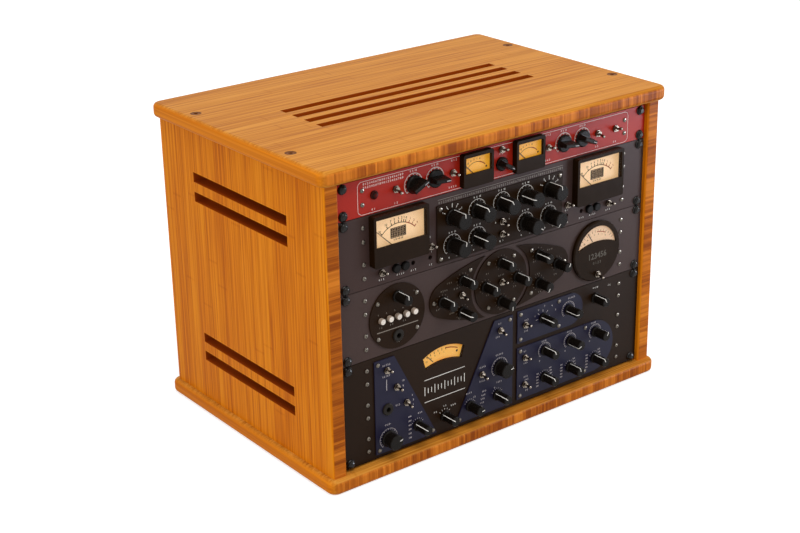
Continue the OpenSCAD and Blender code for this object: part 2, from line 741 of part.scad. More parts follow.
module limiter_panel() color([0.55, 0.12, 0.12]) front(limiter_z) translate([0, 0, -panel_t])
    linear_extrude(panel_t) difference() {
        panel_shape(limiter_units);
        for (p = limiter_knob_spots) translate(p) shaft_hole();
        for (p = limiter_toggle_spots) translate([p[0], p[1]]) bush_hole();
        for (s = [-1, 1]) translate([s * small_meter_x, 0]) circle(small_meter_h / 3 + screw_clear);
        translate([-limiter_end_x, 0]) circle(lamp_r - 1 + screw_clear);
    }

module limiter_chassis() color([0.5, 0.5, 0.52]) difference() {
    chassis_shell(limiter_units, limiter_z, limiter_depth);
    rear_holes(limiter_rear, limiter_z, stereo_inputs, stereo_outputs);
}

module compressor_panel() color([0.3, 0.29, 0.34]) front(compressor_z) translate([0, 0, -panel_t])
    linear_extrude(panel_t) difference() {
        panel_shape(compressor_units);
        for (p = compressor_knob_spots) translate(p) circle(pot_bush_r + screw_clear);
        for (p = compressor_toggle_spots) translate([p[0], p[1]]) bush_hole();
        for (s = [-1, 1]) translate([s * meter_x, meter_rise]) circle(meter_body_r + screw_clear);
        for (p = cap_spots) translate(p) circle(cap_r - 2 + screw_clear);
        for (p = access_spots) translate(p) circle(access_r);
        for (p = control_plate_screws()) translate(p) circle(screw_shank_r + screw_clear);
    }

function control_plate_screws() = [for (x = [-1, 1], y = [-1, 1])
    [x * (plate_w / 2 - plate_screw_edge), y * (plate_h / 2 - plate_screw_edge) - plate_drop]];

module compressor_plate() color([0.12, 0.1, 0.09]) front(compressor_z) linear_extrude(plate_t) difference() {
    translate([0, -plate_drop]) rounded_square(plate_w, plate_h, plate_corner_r);
    for (p = compressor_knob_spots) translate(p) circle(shaft_r + 4 * shaft_clear);
    for (k = [2, 3]) translate([compressor_toggle_spots[k][0], compressor_toggle_spots[k][1]]) bush_hole();
    for (p = control_plate_screws()) translate(p) circle(screw_shank_r + screw_clear);
}

// Sheet tray of the compressor, open at the top and at the front
compressor_floor = compressor_z - compressor_units * unit_h / 2 + chassis_gap;
tray_h = compressor_units * unit_h - 2 * chassis_gap - sheet_t;
circuit_x = -circuit_shift;
circuit_y = panel_back + circuit_setback;
circuit_z = compressor_floor + sheet_t + post_h;

module post_spots() for (x = [-1, 1], y = [-1, 1]) translate([circuit_x + x * (board_w / 2 - 8),
    circuit_y + y * (board_d / 2 - 8), compressor_floor + sheet_t]) children();

module compressor_chassis() color([0.62, 0.62, 0.64]) {
    difference() {
        translate([-chassis_w / 2, panel_back, compressor_floor]) cube([chassis_w, compressor_depth, tray_h]);
        translate([sheet_t - chassis_w / 2, panel_back - 1, compressor_floor + sheet_t])
            cube([chassis_w - 2 * sheet_t, compressor_depth + 1 - sheet_t, tray_h]);
        rear_holes(compressor_rear, compressor_z, stereo_inputs, stereo_outputs);
    }
    post_spots() translate([0, 0, -eps]) cylinder(r = post_r, h = post_h + eps);
}

module compressor_cover() color([0.55, 0.55, 0.58]) translate([0, 0, compressor_floor + tray_h])
    linear_extrude(sheet_t) difference() {
        translate([-chassis_w / 2, panel_back]) square([chassis_w, compressor_depth]);
        for (x = [-5.5 : 5.5], y = [-2 : 2]) translate([circuit_x + x * 16, circuit_y + y * 16]) circle(4);
    }

module pot() difference() {
    union() {
        translate([0, 0, -panel_t - pot_d]) cylinder(r = pot_r, h = pot_d);
        translate([0, 0, -panel_t - eps]) cylinder(r = pot_bush_r, h = panel_t);
    }
    translate([0, 0, -panel_t - pot_d + 2]) cylinder(r = shaft_r + shaft_clear, h = panel_t + pot_d);
}

module compressor_pots() color([0.4, 0.4, 0.42]) front(compressor_z)
    for (p = compressor_knob_spots) at(p) pot();

module compressor_board() color([0.1, 0.35, 0.2])
    translate([circuit_x - board_w / 2, circuit_y - board_d / 2, circuit_z])
        cube([board_w, board_d, circuit_t]);

module valve() {
    cylinder(r = valve_r + 1.5, h = 8);
    rotate_extrude() polygon([[0, 7], [valve_r, 7], [valve_r, valve_h], [valve_r - 2, valve_h + 4],
        [3, valve_h + 6], [2, valve_h + 9], [0, valve_h + 9]]);
}

module compressor_valves() color([0.8, 0.85, 0.85]) for (x = [-2.5 : 2.5])
    translate([circuit_x + x * valve_pitch, circuit_y + valve_setback, circuit_z + circuit_t]) valve();

module compressor_transformers() color([0.25, 0.25, 0.3])
    translate([0, panel_back, compressor_floor + sheet_t]) {
        translate([chassis_w / 2 - toroid_r - toroid_side_gap,
            compressor_depth - toroid_r - toroid_rear_gap, 0])
            rotate_extrude() ring_core_section();
        for (k = [0, 1]) translate([core_w / 2 + core_side_gap - chassis_w / 2,
            core_setback + k * (core_d + core_gap), 0])
            audio_transformer();
    }

// Section of the ring-core mains transformer, with round shoulders
module ring_core_section() translate([toroid_r * 0.3, 0]) board_rim(toroid_r * 0.7, toroid_h, 8);

module audio_transformer() {
    translate([-core_w / 2, -core_d / 4, 0]) cube([core_w, core_d / 2, core_h]);
    translate([0, 0, core_h / 2]) cube([core_w * 0.66, core_d, core_h * 0.66], center = true);
}

module strip_panel() color([0.34, 0.33, 0.37]) front(strip_z) translate([0, 0, -panel_t])
    linear_extrude(panel_t) difference() {
        panel_shape(strip_units);
        strip_holes();
        translate([round_x, -round_toggle_drop]) bush_hole();
    }

// Holes that the strip's panel and plates share
module strip_holes() {
    for (p = strip_knob_spots) translate(p) shaft_hole();
    for (p = strip_toggle_spots) translate([p[0], p[1]]) bush_hole();
    for (k = [-2 : 2]) translate([k * button_pitch - round_x, 0]) circle(button_r + button_clear);
    translate(strip_jack) circle(jack_barrel_r + screw_clear);
    for (p = strip_plate_screws()) translate(p) circle(screw_shank_r + screw_clear);
}

function strip_plate_screws() = concat(
    [for (a = [38, 142, 218, 322]) [round_screw_r * cos(a) - round_x, round_screw_r * sin(a)]],
    [for (a = [55, 125, 235, 305]) [centre_screw_r * cos(a), centre_screw_r * sin(a)]],
    [for (s = [-1, 1], p = leaf_screws) [s * p[0], p[1]]]);

// An oval of four arcs: two flat ones above and below, and a blunt one at each tip
module leaf_outline() {
    intersection() {
        translate([0, leaf_rise - leaf_r]) circle(leaf_r, $fn = 180);
        translate([0, leaf_r - leaf_rise]) circle(leaf_r, $fn = 180);
        square([2 * leaf_joint_x, 2 * leaf_rise + 2], center = true);
    }
    for (s = [-1, 1]) translate([s * leaf_tip_mid, 0]) circle(leaf_tip_r);
}

module strip_plates() color([0.13, 0.11, 0.1]) front(strip_z) linear_extrude(plate_t) difference() {
    union() {
        translate([-round_x, 0]) circle(round_r);
        circle(centre_r);
        difference() {
            leaf_outline();
            circle(centre_r + leaf_gap);
        }
    }
    strip_holes();
}

module strip_chassis() color([0.5, 0.5, 0.52]) difference() {
    chassis_shell(strip_units, strip_z, strip_depth);
    rear_holes(strip_rear, strip_z, mono_inputs, mono_outputs);
}

// Outline of the arc window, measured from its highest point
module arc_window(grow) difference() {
    intersection() {
        translate([0, -arc_outer_r]) circle(arc_outer_r + grow, $fn = 180);
        polygon([[-arc_half_top - grow, 0], [arc_half_top + grow, 0],
            [arc_half_foot + grow, -arc_slope_h], [-arc_half_foot - grow, -arc_slope_h]]);
        translate([-arc_outer_r, -arc_outer_r]) square([2 * arc_outer_r, arc_outer_r + grow]);
    }
    translate([0, -arc_h - arc_inner_r]) circle(arc_inner_r - grow, $fn = 180);
}

module voice_panel() color([0.07, 0.07, 0.08]) front(voice_z) translate([0, 0, -panel_t])
    linear_extrude(panel_t) difference() {
        panel_shape(voice_units);
        voice_holes();
        translate(arc_top) arc_window(0);
    }

module voice_holes() {
    for (p = voice_knob_spots) translate(p) shaft_hole();
    for (p = voice_toggle_spots) translate([p[0], p[1]]) bush_hole();
    translate(voice_jack) circle(jack_barrel_r + screw_clear);
    for (p = voice_plate_screws()) translate(p) circle(screw_shank_r + screw_clear);
}

function plate_row_screws(xs, mid, h) = [for (x = xs, y = [-1, 1])
    [x, mid + y * (h / 2 - plate_screw_edge)]];

function voice_plate_screws() = concat(
    plate_row_screws([vee_left_end + plate_screw_edge, vee_right_end - plate_screw_edge], 0, 2 * plate_top),
    [for (s = [-1, 1]) [vee_x + s * (vee_half_foot + 6), plate_screw_edge - plate_top]],
    plate_row_screws([block_x + plate_screw_edge, esser_end_x - 20], esser_mid, esser_plate_h),
    plate_row_screws([block_x + plate_screw_edge, eq_end_x - 15], eq_mid, eq_plate_h));

module round_end_plate(x0, x1, mid, h) {
    translate([x0, mid - h / 2]) square([x1 - x0, h]);
    translate([x1, mid]) circle(h / 2, $fn = 90);
}

module voice_plates() color([0.16, 0.18, 0.38]) front(voice_z) linear_extrude(plate_t) difference() {
    union() {
        polygon([[vee_left_end, plate_top], [vee_x - vee_half_top, plate_top],
            [vee_x - vee_half_foot, -plate_top], [vee_left_end, -plate_top]]);
        polygon([[vee_right_end, plate_top], [vee_x + vee_half_top, plate_top],
            [vee_x + vee_half_foot, -plate_top], [vee_right_end, -plate_top]]);
        round_end_plate(block_x, esser_end_x, esser_mid, esser_plate_h);
        round_end_plate(block_x, eq_end_x, eq_mid, eq_plate_h);
    }
    voice_holes();
}

module voice_chassis() color([0.5, 0.5, 0.52]) difference() {
    chassis_shell(voice_units, voice_z, voice_depth);
    rear_holes(voice_rear, voice_z, mono_inputs, mono_outputs);
}

// Knobs

// A tall round knob with its pointer line at twelve o'clock, turned clockwise; depth is the shaft's reach
module round_knob(r, h, turn, depth) rotate([0, 0, -turn]) difference() {
    union() {
        rotate_extrude() polygon([[0, knob_lift], [r + skirt_reach, knob_lift], [r + skirt_reach, skirt_h],
            [r, skirt_h + skirt_reach], [r, h - knob_chamfer], [r - knob_chamfer, h], [0, h]]);
        translate([0, 0, -depth]) cylinder(r = shaft_r, h = depth + 2);
    }
    translate([-line_w / 2, r - line_depth, skirt_h + skirt_reach]) cube([line_w, 4, h]);
    translate([-line_w / 2, r - line_reach, h - line_depth]) cube([line_w, line_reach + 1, 2]);
}

// A bar knob: a round skirt with a tapered bar across it, the pointer line on the bar
module bar_knob(r, turn, depth) rotate([0, 0, -turn]) difference() {
    union() {
        rotate_extrude() polygon([[0, knob_lift], [r, knob_lift], [r, bar_skirt_h - 1.5],
            [r - 1.5, bar_skirt_h], [0, bar_skirt_h]]);
        intersection() {
            rotate([90, 0, 0]) linear_extrude(4 * r, center = true) polygon([
                [-bar_foot_w / 2, bar_skirt_h - 1], [bar_foot_w / 2, bar_skirt_h - 1],
                [bar_top_w / 2, bar_knob_h - 1], [bar_top_w / 2 - 1, bar_knob_h],
                [1 - bar_top_w / 2, bar_knob_h], [-bar_top_w / 2, bar_knob_h - 1]]);
            cylinder(r = r - 0.5, h = bar_knob_h + 1);
        }
        translate([0, 0, -depth]) cylinder(r = shaft_r, h = depth + 2);
    }
    translate([-line_w / 2, 1, bar_knob_h - line_depth]) cube([line_w, r, 2]);
}

module limiter_knob(k) color([0.08, 0.08, 0.08]) front(limiter_z) at(limiter_knob_spots[k])
    bar_knob(k == 2 ? middle_knob_r : bar_knob_r, limiter_turns[k], panel_t - 0.3);

module compressor_knob(k) color([0.09, 0.09, 0.09]) front(compressor_z) at(compressor_knob_spots[k])
    translate([0, 0, plate_t]) round_knob(knob_r, knob_h, compressor_turns[k], plate_t + panel_t + pot_d - 4);

module limiter_gain_knob_left() limiter_knob(0);
module limiter_reduction_knob_left() limiter_knob(1);
module limiter_link_knob() limiter_knob(2);
module limiter_reduction_knob_right() limiter_knob(3);
module limiter_gain_knob_right() limiter_knob(4);
module recovery_knob_left() compressor_knob(0);
module output_knob_left() compressor_knob(1);
module input_knob() compressor_knob(2);
module output_knob_right() compressor_knob(3);
module recovery_knob_right() compressor_knob(4);
module threshold_knob_left() compressor_knob(5);
module attack_knob_left() compressor_knob(6);
module attack_knob_right() compressor_knob(7);
module threshold_knob_right() compressor_knob(8);

module channel_knobs() color([0.1, 0.1, 0.1]) {
    front(strip_z) for (k = [0 : len(strip_knob_spots) - 1]) at(strip_knob_spots[k])
        translate([0, 0, plate_t])
            round_knob(small_knob_r, small_knob_h, strip_turns[k], plate_t + panel_t - 0.3);
    front(voice_z) for (k = [0 : len(voice_knob_spots) - 1]) at(voice_knob_spots[k])
        translate([0, 0, voice_knob_lifts[k] * plate_t])
            if (len(search(k, low_voice_knobs)) > 0)
                round_knob(knob_r, low_knob_h, voice_turns[k], plate_t + panel_t - 0.3);
            else
                round_knob(small_knob_r, small_knob_h, voice_turns[k],
                    voice_knob_lifts[k] * plate_t + panel_t - 0.3);
}

// Toggle switches

module lever() {
    sphere(ball_r);
    cylinder(r1 = lever_root_r, r2 = lever_tip_r, h = lever_len);
    translate([0, 0, lever_len]) sphere(lever_tip_r);
}

// Lever about its pivot, tilted up or down by its position
module lever_at(spot, lift) translate([spot[0], spot[1], lift + pivot_h])
    rotate([-spot[2] * lever_tilt, 0, 0]) lever();

module bush(depth) {
    translate([0, 0, -depth]) cylinder(r = bush_r, h = depth + bush_h);
    cylinder(r = nut_r, h = nut_h, $fn = 6);
}

module fixed_toggle(spot, lift) {
    translate([spot[0], spot[1], lift]) bush(lift + panel_t - 0.2);
    lever_at(spot, lift);
}

module open_toggle(spot, lift) translate([spot[0], spot[1], lift]) difference() {
    union() {
        bush(lift + panel_t);
        translate([-switch_w / 2, -switch_h / 2, -lift - panel_t - switch_d])
            cube([switch_w, switch_h, switch_d]);
    }
    translate([0, 0, pivot_h - ball_r - ball_clear]) cylinder(r = ball_r + ball_clear, h = bush_h);
}

module toggle_switches() color([0.75, 0.75, 0.76]) {
    front(limiter_z) for (p = limiter_toggle_spots) fixed_toggle(p, 0);
    front(compressor_z) for (k = [0 : 5]) open_toggle(compressor_toggle_spots[k], compressor_toggle_lifts[k]);
    front(strip_z) {
        for (p = strip_toggle_spots) fixed_toggle(p, plate_t);
        fixed_toggle([round_x, -round_toggle_drop, -1], round_meter_d);
    }
    front(voice_z) for (p = voice_toggle_spots) fixed_toggle(p, plate_t);
}

module compressor_toggle(k) color([0.8, 0.8, 0.8]) front(compressor_z)
    lever_at(compressor_toggle_spots[k], compressor_toggle_lifts[k]);

module meter_toggle_left() compressor_toggle(0);
module bypass_toggle_left() compressor_toggle(1);
module link_toggle() compressor_toggle(2);
module power_toggle() compressor_toggle(3);
module bypass_toggle_right() compressor_toggle(4);
module meter_toggle_right() compressor_toggle(5);

// Buttons, caps and lamp

module strip_button(k) color([0.92, 0.9, 0.86]) front(strip_z)
    translate([(k - 2) * button_pitch - round_x, 0, plate_t]) rotate_extrude()
        polygon([[0, button_foot], [button_r, button_foot], [button_r, button_h - 0.6],
            [button_r - 0.6, button_h], [0, button_h]]);

module strip_button_1() strip_button(0);
module strip_button_2() strip_button(1);
module strip_button_3() strip_button(2);
module strip_button_4() strip_button(3);
module strip_button_5() strip_button(4);

module trimmer_caps() color([0.05, 0.05, 0.05]) front(compressor_z) for (p = cap_spots) at(p) {
    rotate_extrude() polygon([[0, 0], [cap_r, 0], [cap_r, cap_h - 1], [cap_r - 1, cap_h], [0, cap_h]]);
    translate([0, 0, -panel_t]) cylinder(r = cap_r - 2, h = panel_t + eps);
}

module pilot_lamp() color([0.5, 0.03, 0.03]) front(limiter_z) at([-limiter_end_x, 0]) rotate_extrude() {
    polygon([[0, 0.3 - panel_t], [lamp_r - 1, 0.3 - panel_t], [lamp_r - 1, 0], [lamp_r, 0], [lamp_r, 1.6],
        [lamp_r - 1, 2.4], [0, 2.4]]);
    intersection() {
        translate([0, 1.2]) circle(lamp_r - 1);
        translate([0, 1]) square([lamp_r, lamp_r + 1]);
    }
}

// Meters. A case is hollow: the dial lies on its floor and the glass behind its window.

module meter_case(w, h, d, glass_h, body_r, body_len) difference() {
    union() {
        linear_extrude(d) rounded_square(w, h, meter_corner_r);
        translate([0, 0, -body_len]) cylinder(r = body_r, h = body_len + eps);
    }
    translate([meter_wall - w / 2, meter_wall - h / 2, meter_face])
        cube([w - 2 * meter_wall, h - 2 * meter_wall, d - 2 * meter_face]);
    translate([meter_wall + glass_lip - w / 2, h / 2 - meter_rim - glass_h, d - meter_face - 1])
        cube([w - 2 * meter_wall - 2 * glass_lip, glass_h, meter_face + 2]);
}

module meter_dial(w, h) translate([meter_wall + 0.2 - w / 2, meter_wall + 0.2 - h / 2, meter_face])
    cube([w - 2 * meter_wall - 0.4, h - 2 * meter_wall - 0.4, dial_t]);

module meter_glass(w, h, d, glass_h)
    translate([meter_wall + 0.2 - w / 2, h / 2 - meter_rim - glass_h - glass_lip, d - meter_face - glass_t])
        cube([w - 2 * meter_wall - 0.4, glass_h + 2 * glass_lip, glass_t]);

module crescent(grow) difference() {
    circle(round_window_r + grow, $fn = 90);
    translate([0, -72]) circle(85 - grow, $fn = 180);
}

// A bar needle that rests on its dial
module resting_needle(foot, reach, tilt) translate(foot) rotate([0, 0, tilt])
    translate([-needle_w / 3, 0, 0]) cube([needle_w / 1.5, reach, needle_t]);

module meter_cases() color([0.06, 0.06, 0.06]) {
    front(limiter_z) for (s = [-1, 1]) translate([s * small_meter_x, 0, 0])
        meter_case(small_meter_w, small_meter_h, small_meter_d, small_window_h, small_meter_h / 3,
            panel_t - 0.2);
    front(compressor_z) for (s = [-1, 1]) translate([s * meter_x, meter_rise, 0])
        meter_case(meter_w, meter_h, meter_d, window_h, meter_body_r, meter_body_len);
    front(strip_z) translate([round_x, 0, 0]) difference() {
        rotate_extrude() polygon([[0, 0], [round_r, 0], [round_r, round_meter_d - 1.5],
            [round_r - 1.5, round_meter_d], [0, round_meter_d]]);
        translate([0, 0, meter_face]) linear_extrude(round_meter_d) crescent(0);
        translate([0, -round_toggle_drop, -1]) cylinder(r = bush_r + screw_clear, h = round_meter_d + 2);
    }
}

module meter_dials() color([0.95, 0.85, 0.65]) {
    front(limiter_z) for (s = [-1, 1]) translate([s * small_meter_x, 0, 0]) {
        meter_dial(small_meter_w, small_meter_h);
        resting_needle([0, -small_meter_h / 4, meter_face + dial_t], small_meter_h * 0.62, 46);
    }
    front(compressor_z) for (s = [-1, 1]) translate([s * meter_x, meter_rise, 0]) {
        meter_dial(meter_w, meter_h);
        translate([0, needle_rise - meter_h / 2, meter_face])
            cylinder(r = pin_r, h = needle_z + needle_t + 1.2 - meter_face);
    }
    front(strip_z) translate([round_x, 0, meter_face]) {
        linear_extrude(dial_t) crescent(-0.15);
        resting_needle([-7, 14, dial_t], 15, 34);
    }
    front(voice_z) translate([arc_top[0], arc_top[1], -panel_t]) {
        linear_extrude(dial_t) arc_window(-0.15);
        resting_needle([-14, -18.5, dial_t], 13, 44);
    }
}

module meter_glasses() color([0.85, 0.9, 0.9, 0.4]) {
    front(limiter_z) for (s = [-1, 1]) translate([s * small_meter_x, 0, 0])
        meter_glass(small_meter_w, small_meter_h, small_meter_d, small_window_h);
    front(compressor_z) for (s = [-1, 1]) translate([s * meter_x, meter_rise, 0])
        meter_glass(meter_w, meter_h, meter_d, window_h);
    front(strip_z) translate([round_x, 0, round_meter_d - glass_t - 0.4])
        linear_extrude(glass_t) crescent(-0.15);
    front(voice_z) translate([arc_top[0], arc_top[1], -glass_t - 0.6])
        linear_extrude(glass_t) arc_window(-0.15);
}

// Needle on its pin: a tapered pointer with a short tail, at rest on the left
module needle(s) color([0.05, 0.05, 0.05]) front(compressor_z)
    translate([s * meter_x, meter_rise + needle_rise - meter_h / 2, needle_z]) rotate([0, 0, needle_swing])
        difference() {
            union() {
                linear_extrude(needle_t) polygon([[-needle_w / 2, -5], [needle_w / 2, -5],
                    [0.25, needle_len], [-0.25, needle_len]]);
                translate([0, 0, -0.4]) cylinder(r = hub_r, h = needle_t + 0.8);
            }
            translate([0, 0, -2]) cylinder(r = pin_r + pin_clear, h = 5);
        }

module needle_left() needle(-1);
module needle_right() needle(1);

// Screws, sockets and inlets

module panel_screw(depth) {
    rotate_extrude() polygon([[0, 0], [screw_head_r, 0], [screw_head_r, screw_head_h * 0.4],
        [screw_head_r * 0.75, screw_head_h * 0.85], [screw_head_r * 0.4, screw_head_h], [0, screw_head_h]]);
    translate([0, 0, -depth]) cylinder(r = screw_shank_r, h = depth + eps);
}

module panel_screws() color([0.7, 0.7, 0.7]) {
    front(limiter_z) for (p = unit_screws(limiter_units)) at(p) panel_screw(panel_t);
    front(compressor_z) {
        for (p = unit_screws(compressor_units)) at(p) panel_screw(panel_t);
        for (p = control_plate_screws()) at(p) translate([0, 0, plate_t]) panel_screw(plate_t + panel_t);
    }
    front(strip_z) {
        for (p = unit_screws(strip_units)) at(p) panel_screw(panel_t);
        for (p = strip_plate_screws()) at(p) translate([0, 0, plate_t]) panel_screw(plate_t + panel_t);
    }
    front(voice_z) {
        for (p = unit_screws(voice_units)) at(p) panel_screw(panel_t);
        for (p = voice_plate_screws()) at(p) translate([0, 0, plate_t]) panel_screw(plate_t + panel_t);
    }
}

module jack() difference() {
    union() {
        rotate_extrude() polygon([[0, 0], [jack_r, 0], [jack_r, jack_h - 0.8], [jack_r - 0.8, jack_h],
            [0, jack_h]]);
        translate([0, 0, -jack_depth]) cylinder(r = jack_barrel_r, h = jack_depth + eps);
    }
    translate([0, 0, 2 - jack_depth]) cylinder(r = jack_bore_r, h = jack_depth + jack_h);
}

module xlr_flange() linear_extrude(xlr_t) rounded_square(xlr_w, xlr_h, 3);

module input_socket() {
    xlr_flange();
    translate([0, 0, -xlr_depth]) cylinder(r = xlr_r, h = xlr_depth + 3);
    translate([-3, xlr_r - 3, 0]) cube([6, 5, 4]);
}

module output_socket() {
    difference() {
        union() {
            xlr_flange();
            translate([0, 0, -xlr_depth]) cylinder(r = xlr_r, h = xlr_depth + xlr_t);
        }
        translate([0, 0, xlr_t - xlr_recess]) cylinder(r = xlr_recess_r, h = xlr_recess + 1);
    }
    for (a = [30, 150, 270]) rotate([0, 0, a]) translate([xlr_recess_r - 4, 0, xlr_t - xlr_recess - eps])
        cylinder(r = 1.2, h = xlr_recess - 5);
}

module unit_sockets(y, z, inputs, outputs) {
    for (x = inputs) rear(x, y, z) input_socket();
    for (x = outputs) rear(x, y, z) output_socket();
}

module sockets() color([0.15, 0.15, 0.16]) {
    front(strip_z) at(strip_jack) translate([0, 0, plate_t]) jack();
    front(voice_z) at(voice_jack) translate([0, 0, plate_t]) jack();
    unit_sockets(limiter_rear, limiter_z, stereo_inputs, stereo_outputs);
    unit_sockets(compressor_rear, compressor_z, stereo_inputs, stereo_outputs);
    unit_sockets(strip_rear, strip_z, mono_inputs, mono_outputs);
    unit_sockets(voice_rear, voice_z, mono_inputs, mono_outputs);
}

module inlet() {
    difference() {
        union() {
            linear_extrude(2) rounded_square(inlet_w, inlet_h, 2);
            translate([0, 0, -inlet_depth / 2])
                cube([inlet_body_w, inlet_body_h, inlet_depth], center = true);
        }
        translate([0, 0, 2 - inlet_recess]) linear_extrude(inlet_recess + 1)
            rounded_square(inlet_body_w - 3, inlet_body_h - 3, 2);
    }
    for (x = [-7, 0, 7]) translate([x - 1, x == 0 ? -4 : 0, 2 - inlet_recess - eps])
        cube([2, 4, inlet_recess - 5]);
}

module mains_inlets() color([0.1, 0.1, 0.1]) {
    rear(inlet_x, limiter_rear, limiter_z) inlet();
    rear(inlet_x, compressor_rear, compressor_z) inlet();
    rear(inlet_x, strip_rear, strip_z) inlet();
    rear(inlet_x, voice_rear, voice_z) inlet();
}

cabinet_base();
cabinet_top();
left_side();
right_side();
rack_rails();
cabinet_screws();
rack_screws();
limiter_panel();
limiter_chassis();
limiter_gain_knob_left();
limiter_reduction_knob_left();
limiter_link_knob();
limiter_reduction_knob_right();
limiter_gain_knob_right();
pilot_lamp();
compressor_panel();
compressor_plate();
compressor_chassis();
compressor_cover();
compressor_pots();
compressor_board();
compressor_valves();
compressor_transformers();
trimmer_caps();
recovery_knob_left();
output_knob_left();
input_knob();
output_knob_right();
recovery_knob_right();
threshold_knob_left();
attack_knob_left();
attack_knob_right();
threshold_knob_right();
meter_toggle_left();
bypass_toggle_left();
link_toggle();
power_toggle();
bypass_toggle_right();
meter_toggle_right();
needle_left();
needle_right();
strip_panel();
strip_plates();
strip_chassis();
strip_button_1();
strip_button_2();
strip_button_3();
strip_button_4();
strip_button_5();
voice_panel();
voice_plates();
voice_chassis();
channel_knobs();
toggle_switches();
meter_cases();
meter_dials();
meter_glasses();
panel_screws();
sockets();
mains_inlets();
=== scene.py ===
import math

import bpy
from mathutils import Matrix, Vector


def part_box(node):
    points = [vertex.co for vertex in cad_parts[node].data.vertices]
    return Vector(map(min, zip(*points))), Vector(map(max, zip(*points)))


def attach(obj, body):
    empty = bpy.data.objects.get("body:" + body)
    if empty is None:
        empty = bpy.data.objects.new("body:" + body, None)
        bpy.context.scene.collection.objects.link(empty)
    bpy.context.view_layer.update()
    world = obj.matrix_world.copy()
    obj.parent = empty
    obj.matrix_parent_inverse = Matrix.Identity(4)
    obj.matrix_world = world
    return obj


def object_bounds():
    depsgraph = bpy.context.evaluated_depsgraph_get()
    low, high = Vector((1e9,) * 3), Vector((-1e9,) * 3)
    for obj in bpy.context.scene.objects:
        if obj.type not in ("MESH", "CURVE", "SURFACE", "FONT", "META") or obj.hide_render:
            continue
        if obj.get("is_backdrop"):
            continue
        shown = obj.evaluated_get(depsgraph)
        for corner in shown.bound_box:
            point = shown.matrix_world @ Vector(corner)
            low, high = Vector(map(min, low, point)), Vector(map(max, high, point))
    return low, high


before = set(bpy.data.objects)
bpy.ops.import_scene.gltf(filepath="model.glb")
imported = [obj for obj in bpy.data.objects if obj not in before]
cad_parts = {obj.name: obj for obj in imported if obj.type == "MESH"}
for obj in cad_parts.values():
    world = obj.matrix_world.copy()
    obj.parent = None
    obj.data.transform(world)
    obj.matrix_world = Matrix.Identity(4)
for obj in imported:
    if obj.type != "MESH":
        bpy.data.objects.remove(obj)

cad_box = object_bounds()

# The photographer's place: a long lens a little above the rack and to its left, so that the top board and
# the left side both show. The camera leans by one degree.
mm = 0.001
panel_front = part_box("compressor_panel")[0].y
rack_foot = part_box("voice_panel")[0].z - 0.4 * mm
azimuth, elevation, lean = (math.radians(a) for a in (37.467, 22.1, -1.038))
look_at = Vector((-153.9 * mm, panel_front, rack_foot + 237.6 * mm))
camera_distance = 1.83166
reach = math.cos(elevation)
back = Vector((-math.sin(azimuth) * reach, -math.cos(azimuth) * reach, math.sin(elevation)))
level = Vector((0, 0, 1)).cross(back).normalized()
upright = back.cross(level)
camera_right = level * math.cos(lean) + upright * math.sin(lean)
camera_up = upright * math.cos(lean) - level * math.sin(lean)
camera = bpy.data.objects.new("camera", bpy.data.cameras.new("camera"))
camera.data.sensor_width = 36
camera.data.lens = 71.476
camera.matrix_world = Matrix.Translation(look_at + back * camera_distance) @ Matrix(
    (camera_right, camera_up, back)).transposed().to_4x4()
bpy.context.scene.collection.objects.link(camera)
bpy.context.scene.camera = camera
bpy.context.scene.view_settings.view_transform = "Standard"


# The studio: a white sweep under the rack, a wide soft box above and in front of it, and weaker ones on its
# left, on its right and behind it. A white card on the right only shows in the gloss. The room is white too.
def add(tree, kind, inputs=None, **settings):
    made = tree.nodes.new(kind)
    for key, value in settings.items():
        setattr(made, key, value)
    for key, value in (inputs or {}).items():
        if isinstance(value, bpy.types.NodeSocket):
            tree.links.new(value, made.inputs[key])
        else:
            made.inputs[key].default_value = value
    return made


def ranged(tree, value, start, end, low=0.0, high=1.0):
    """Carries start..end over to low..high, and holds the value at these ends."""
    return add(tree, "ShaderNodeMapRange", {
        "Value": value, "From Min": start, "From Max": end, "To Min": low, "To Max": high}).outputs[0]


def seen_directly(tree):
    """One where the surface is looked at, in gloss or glass too, and nought where it only gives light."""
    ray = add(tree, "ShaderNodeLightPath").outputs
    shine = add(tree, "ShaderNodeMath", {0: ray["Is Glossy Ray"], 1: ray["Is Transmission Ray"]},
                operation="MAXIMUM").outputs[0]
    return add(tree, "ShaderNodeMath", {0: ray["Is Camera Ray"], 1: shine}, operation="MAXIMUM").outputs[0]


room_daylight, paper_glow_level = 0.455, 0.66
room = bpy.data.worlds.new("white_room")
room.use_nodes = True
room_light = room.node_tree.nodes["Background"]
room_level = ranged(room.node_tree, seen_directly(room.node_tree), 0.0, 1.0, room_daylight, 1.0)
room.node_tree.links.new(room_level, room_light.inputs["Strength"])
room_light.inputs["Color"].default_value = (1, 1, 1, 1)
bpy.context.scene.world = room

sweep_mesh = bpy.data.meshes.new("studio_floor")
sweep_mesh.from_pydata([(-9, -9, 0), (9, -9, 0), (9, 9, 0), (-9, 9, 0)], [], [(0, 1, 2, 3)])
sweep = bpy.data.objects.new("studio_floor", sweep_mesh)
bpy.context.scene.collection.objects.link(sweep)
sweep_paper = bpy.data.materials.new("white_paper")
sweep_paper.use_nodes = True
paper = sweep_paper.node_tree
paper_glow = add(paper, "ShaderNodeEmission", {"Color": (1, 1, 1, 1)})
glow_level = add(paper, "ShaderNodeMath", {0: seen_directly(paper), 1: paper_glow_level},
                 operation="MULTIPLY")
paper.links.new(glow_level.outputs[0], paper_glow.inputs["Strength"])
paper_face = add(paper, "ShaderNodeBsdfDiffuse", {"Color": (0.62, 0.62, 0.62, 1)})
paper_sum = add(paper, "ShaderNodeAddShader", {0: paper_face.outputs[0], 1: paper_glow.outputs[0]})
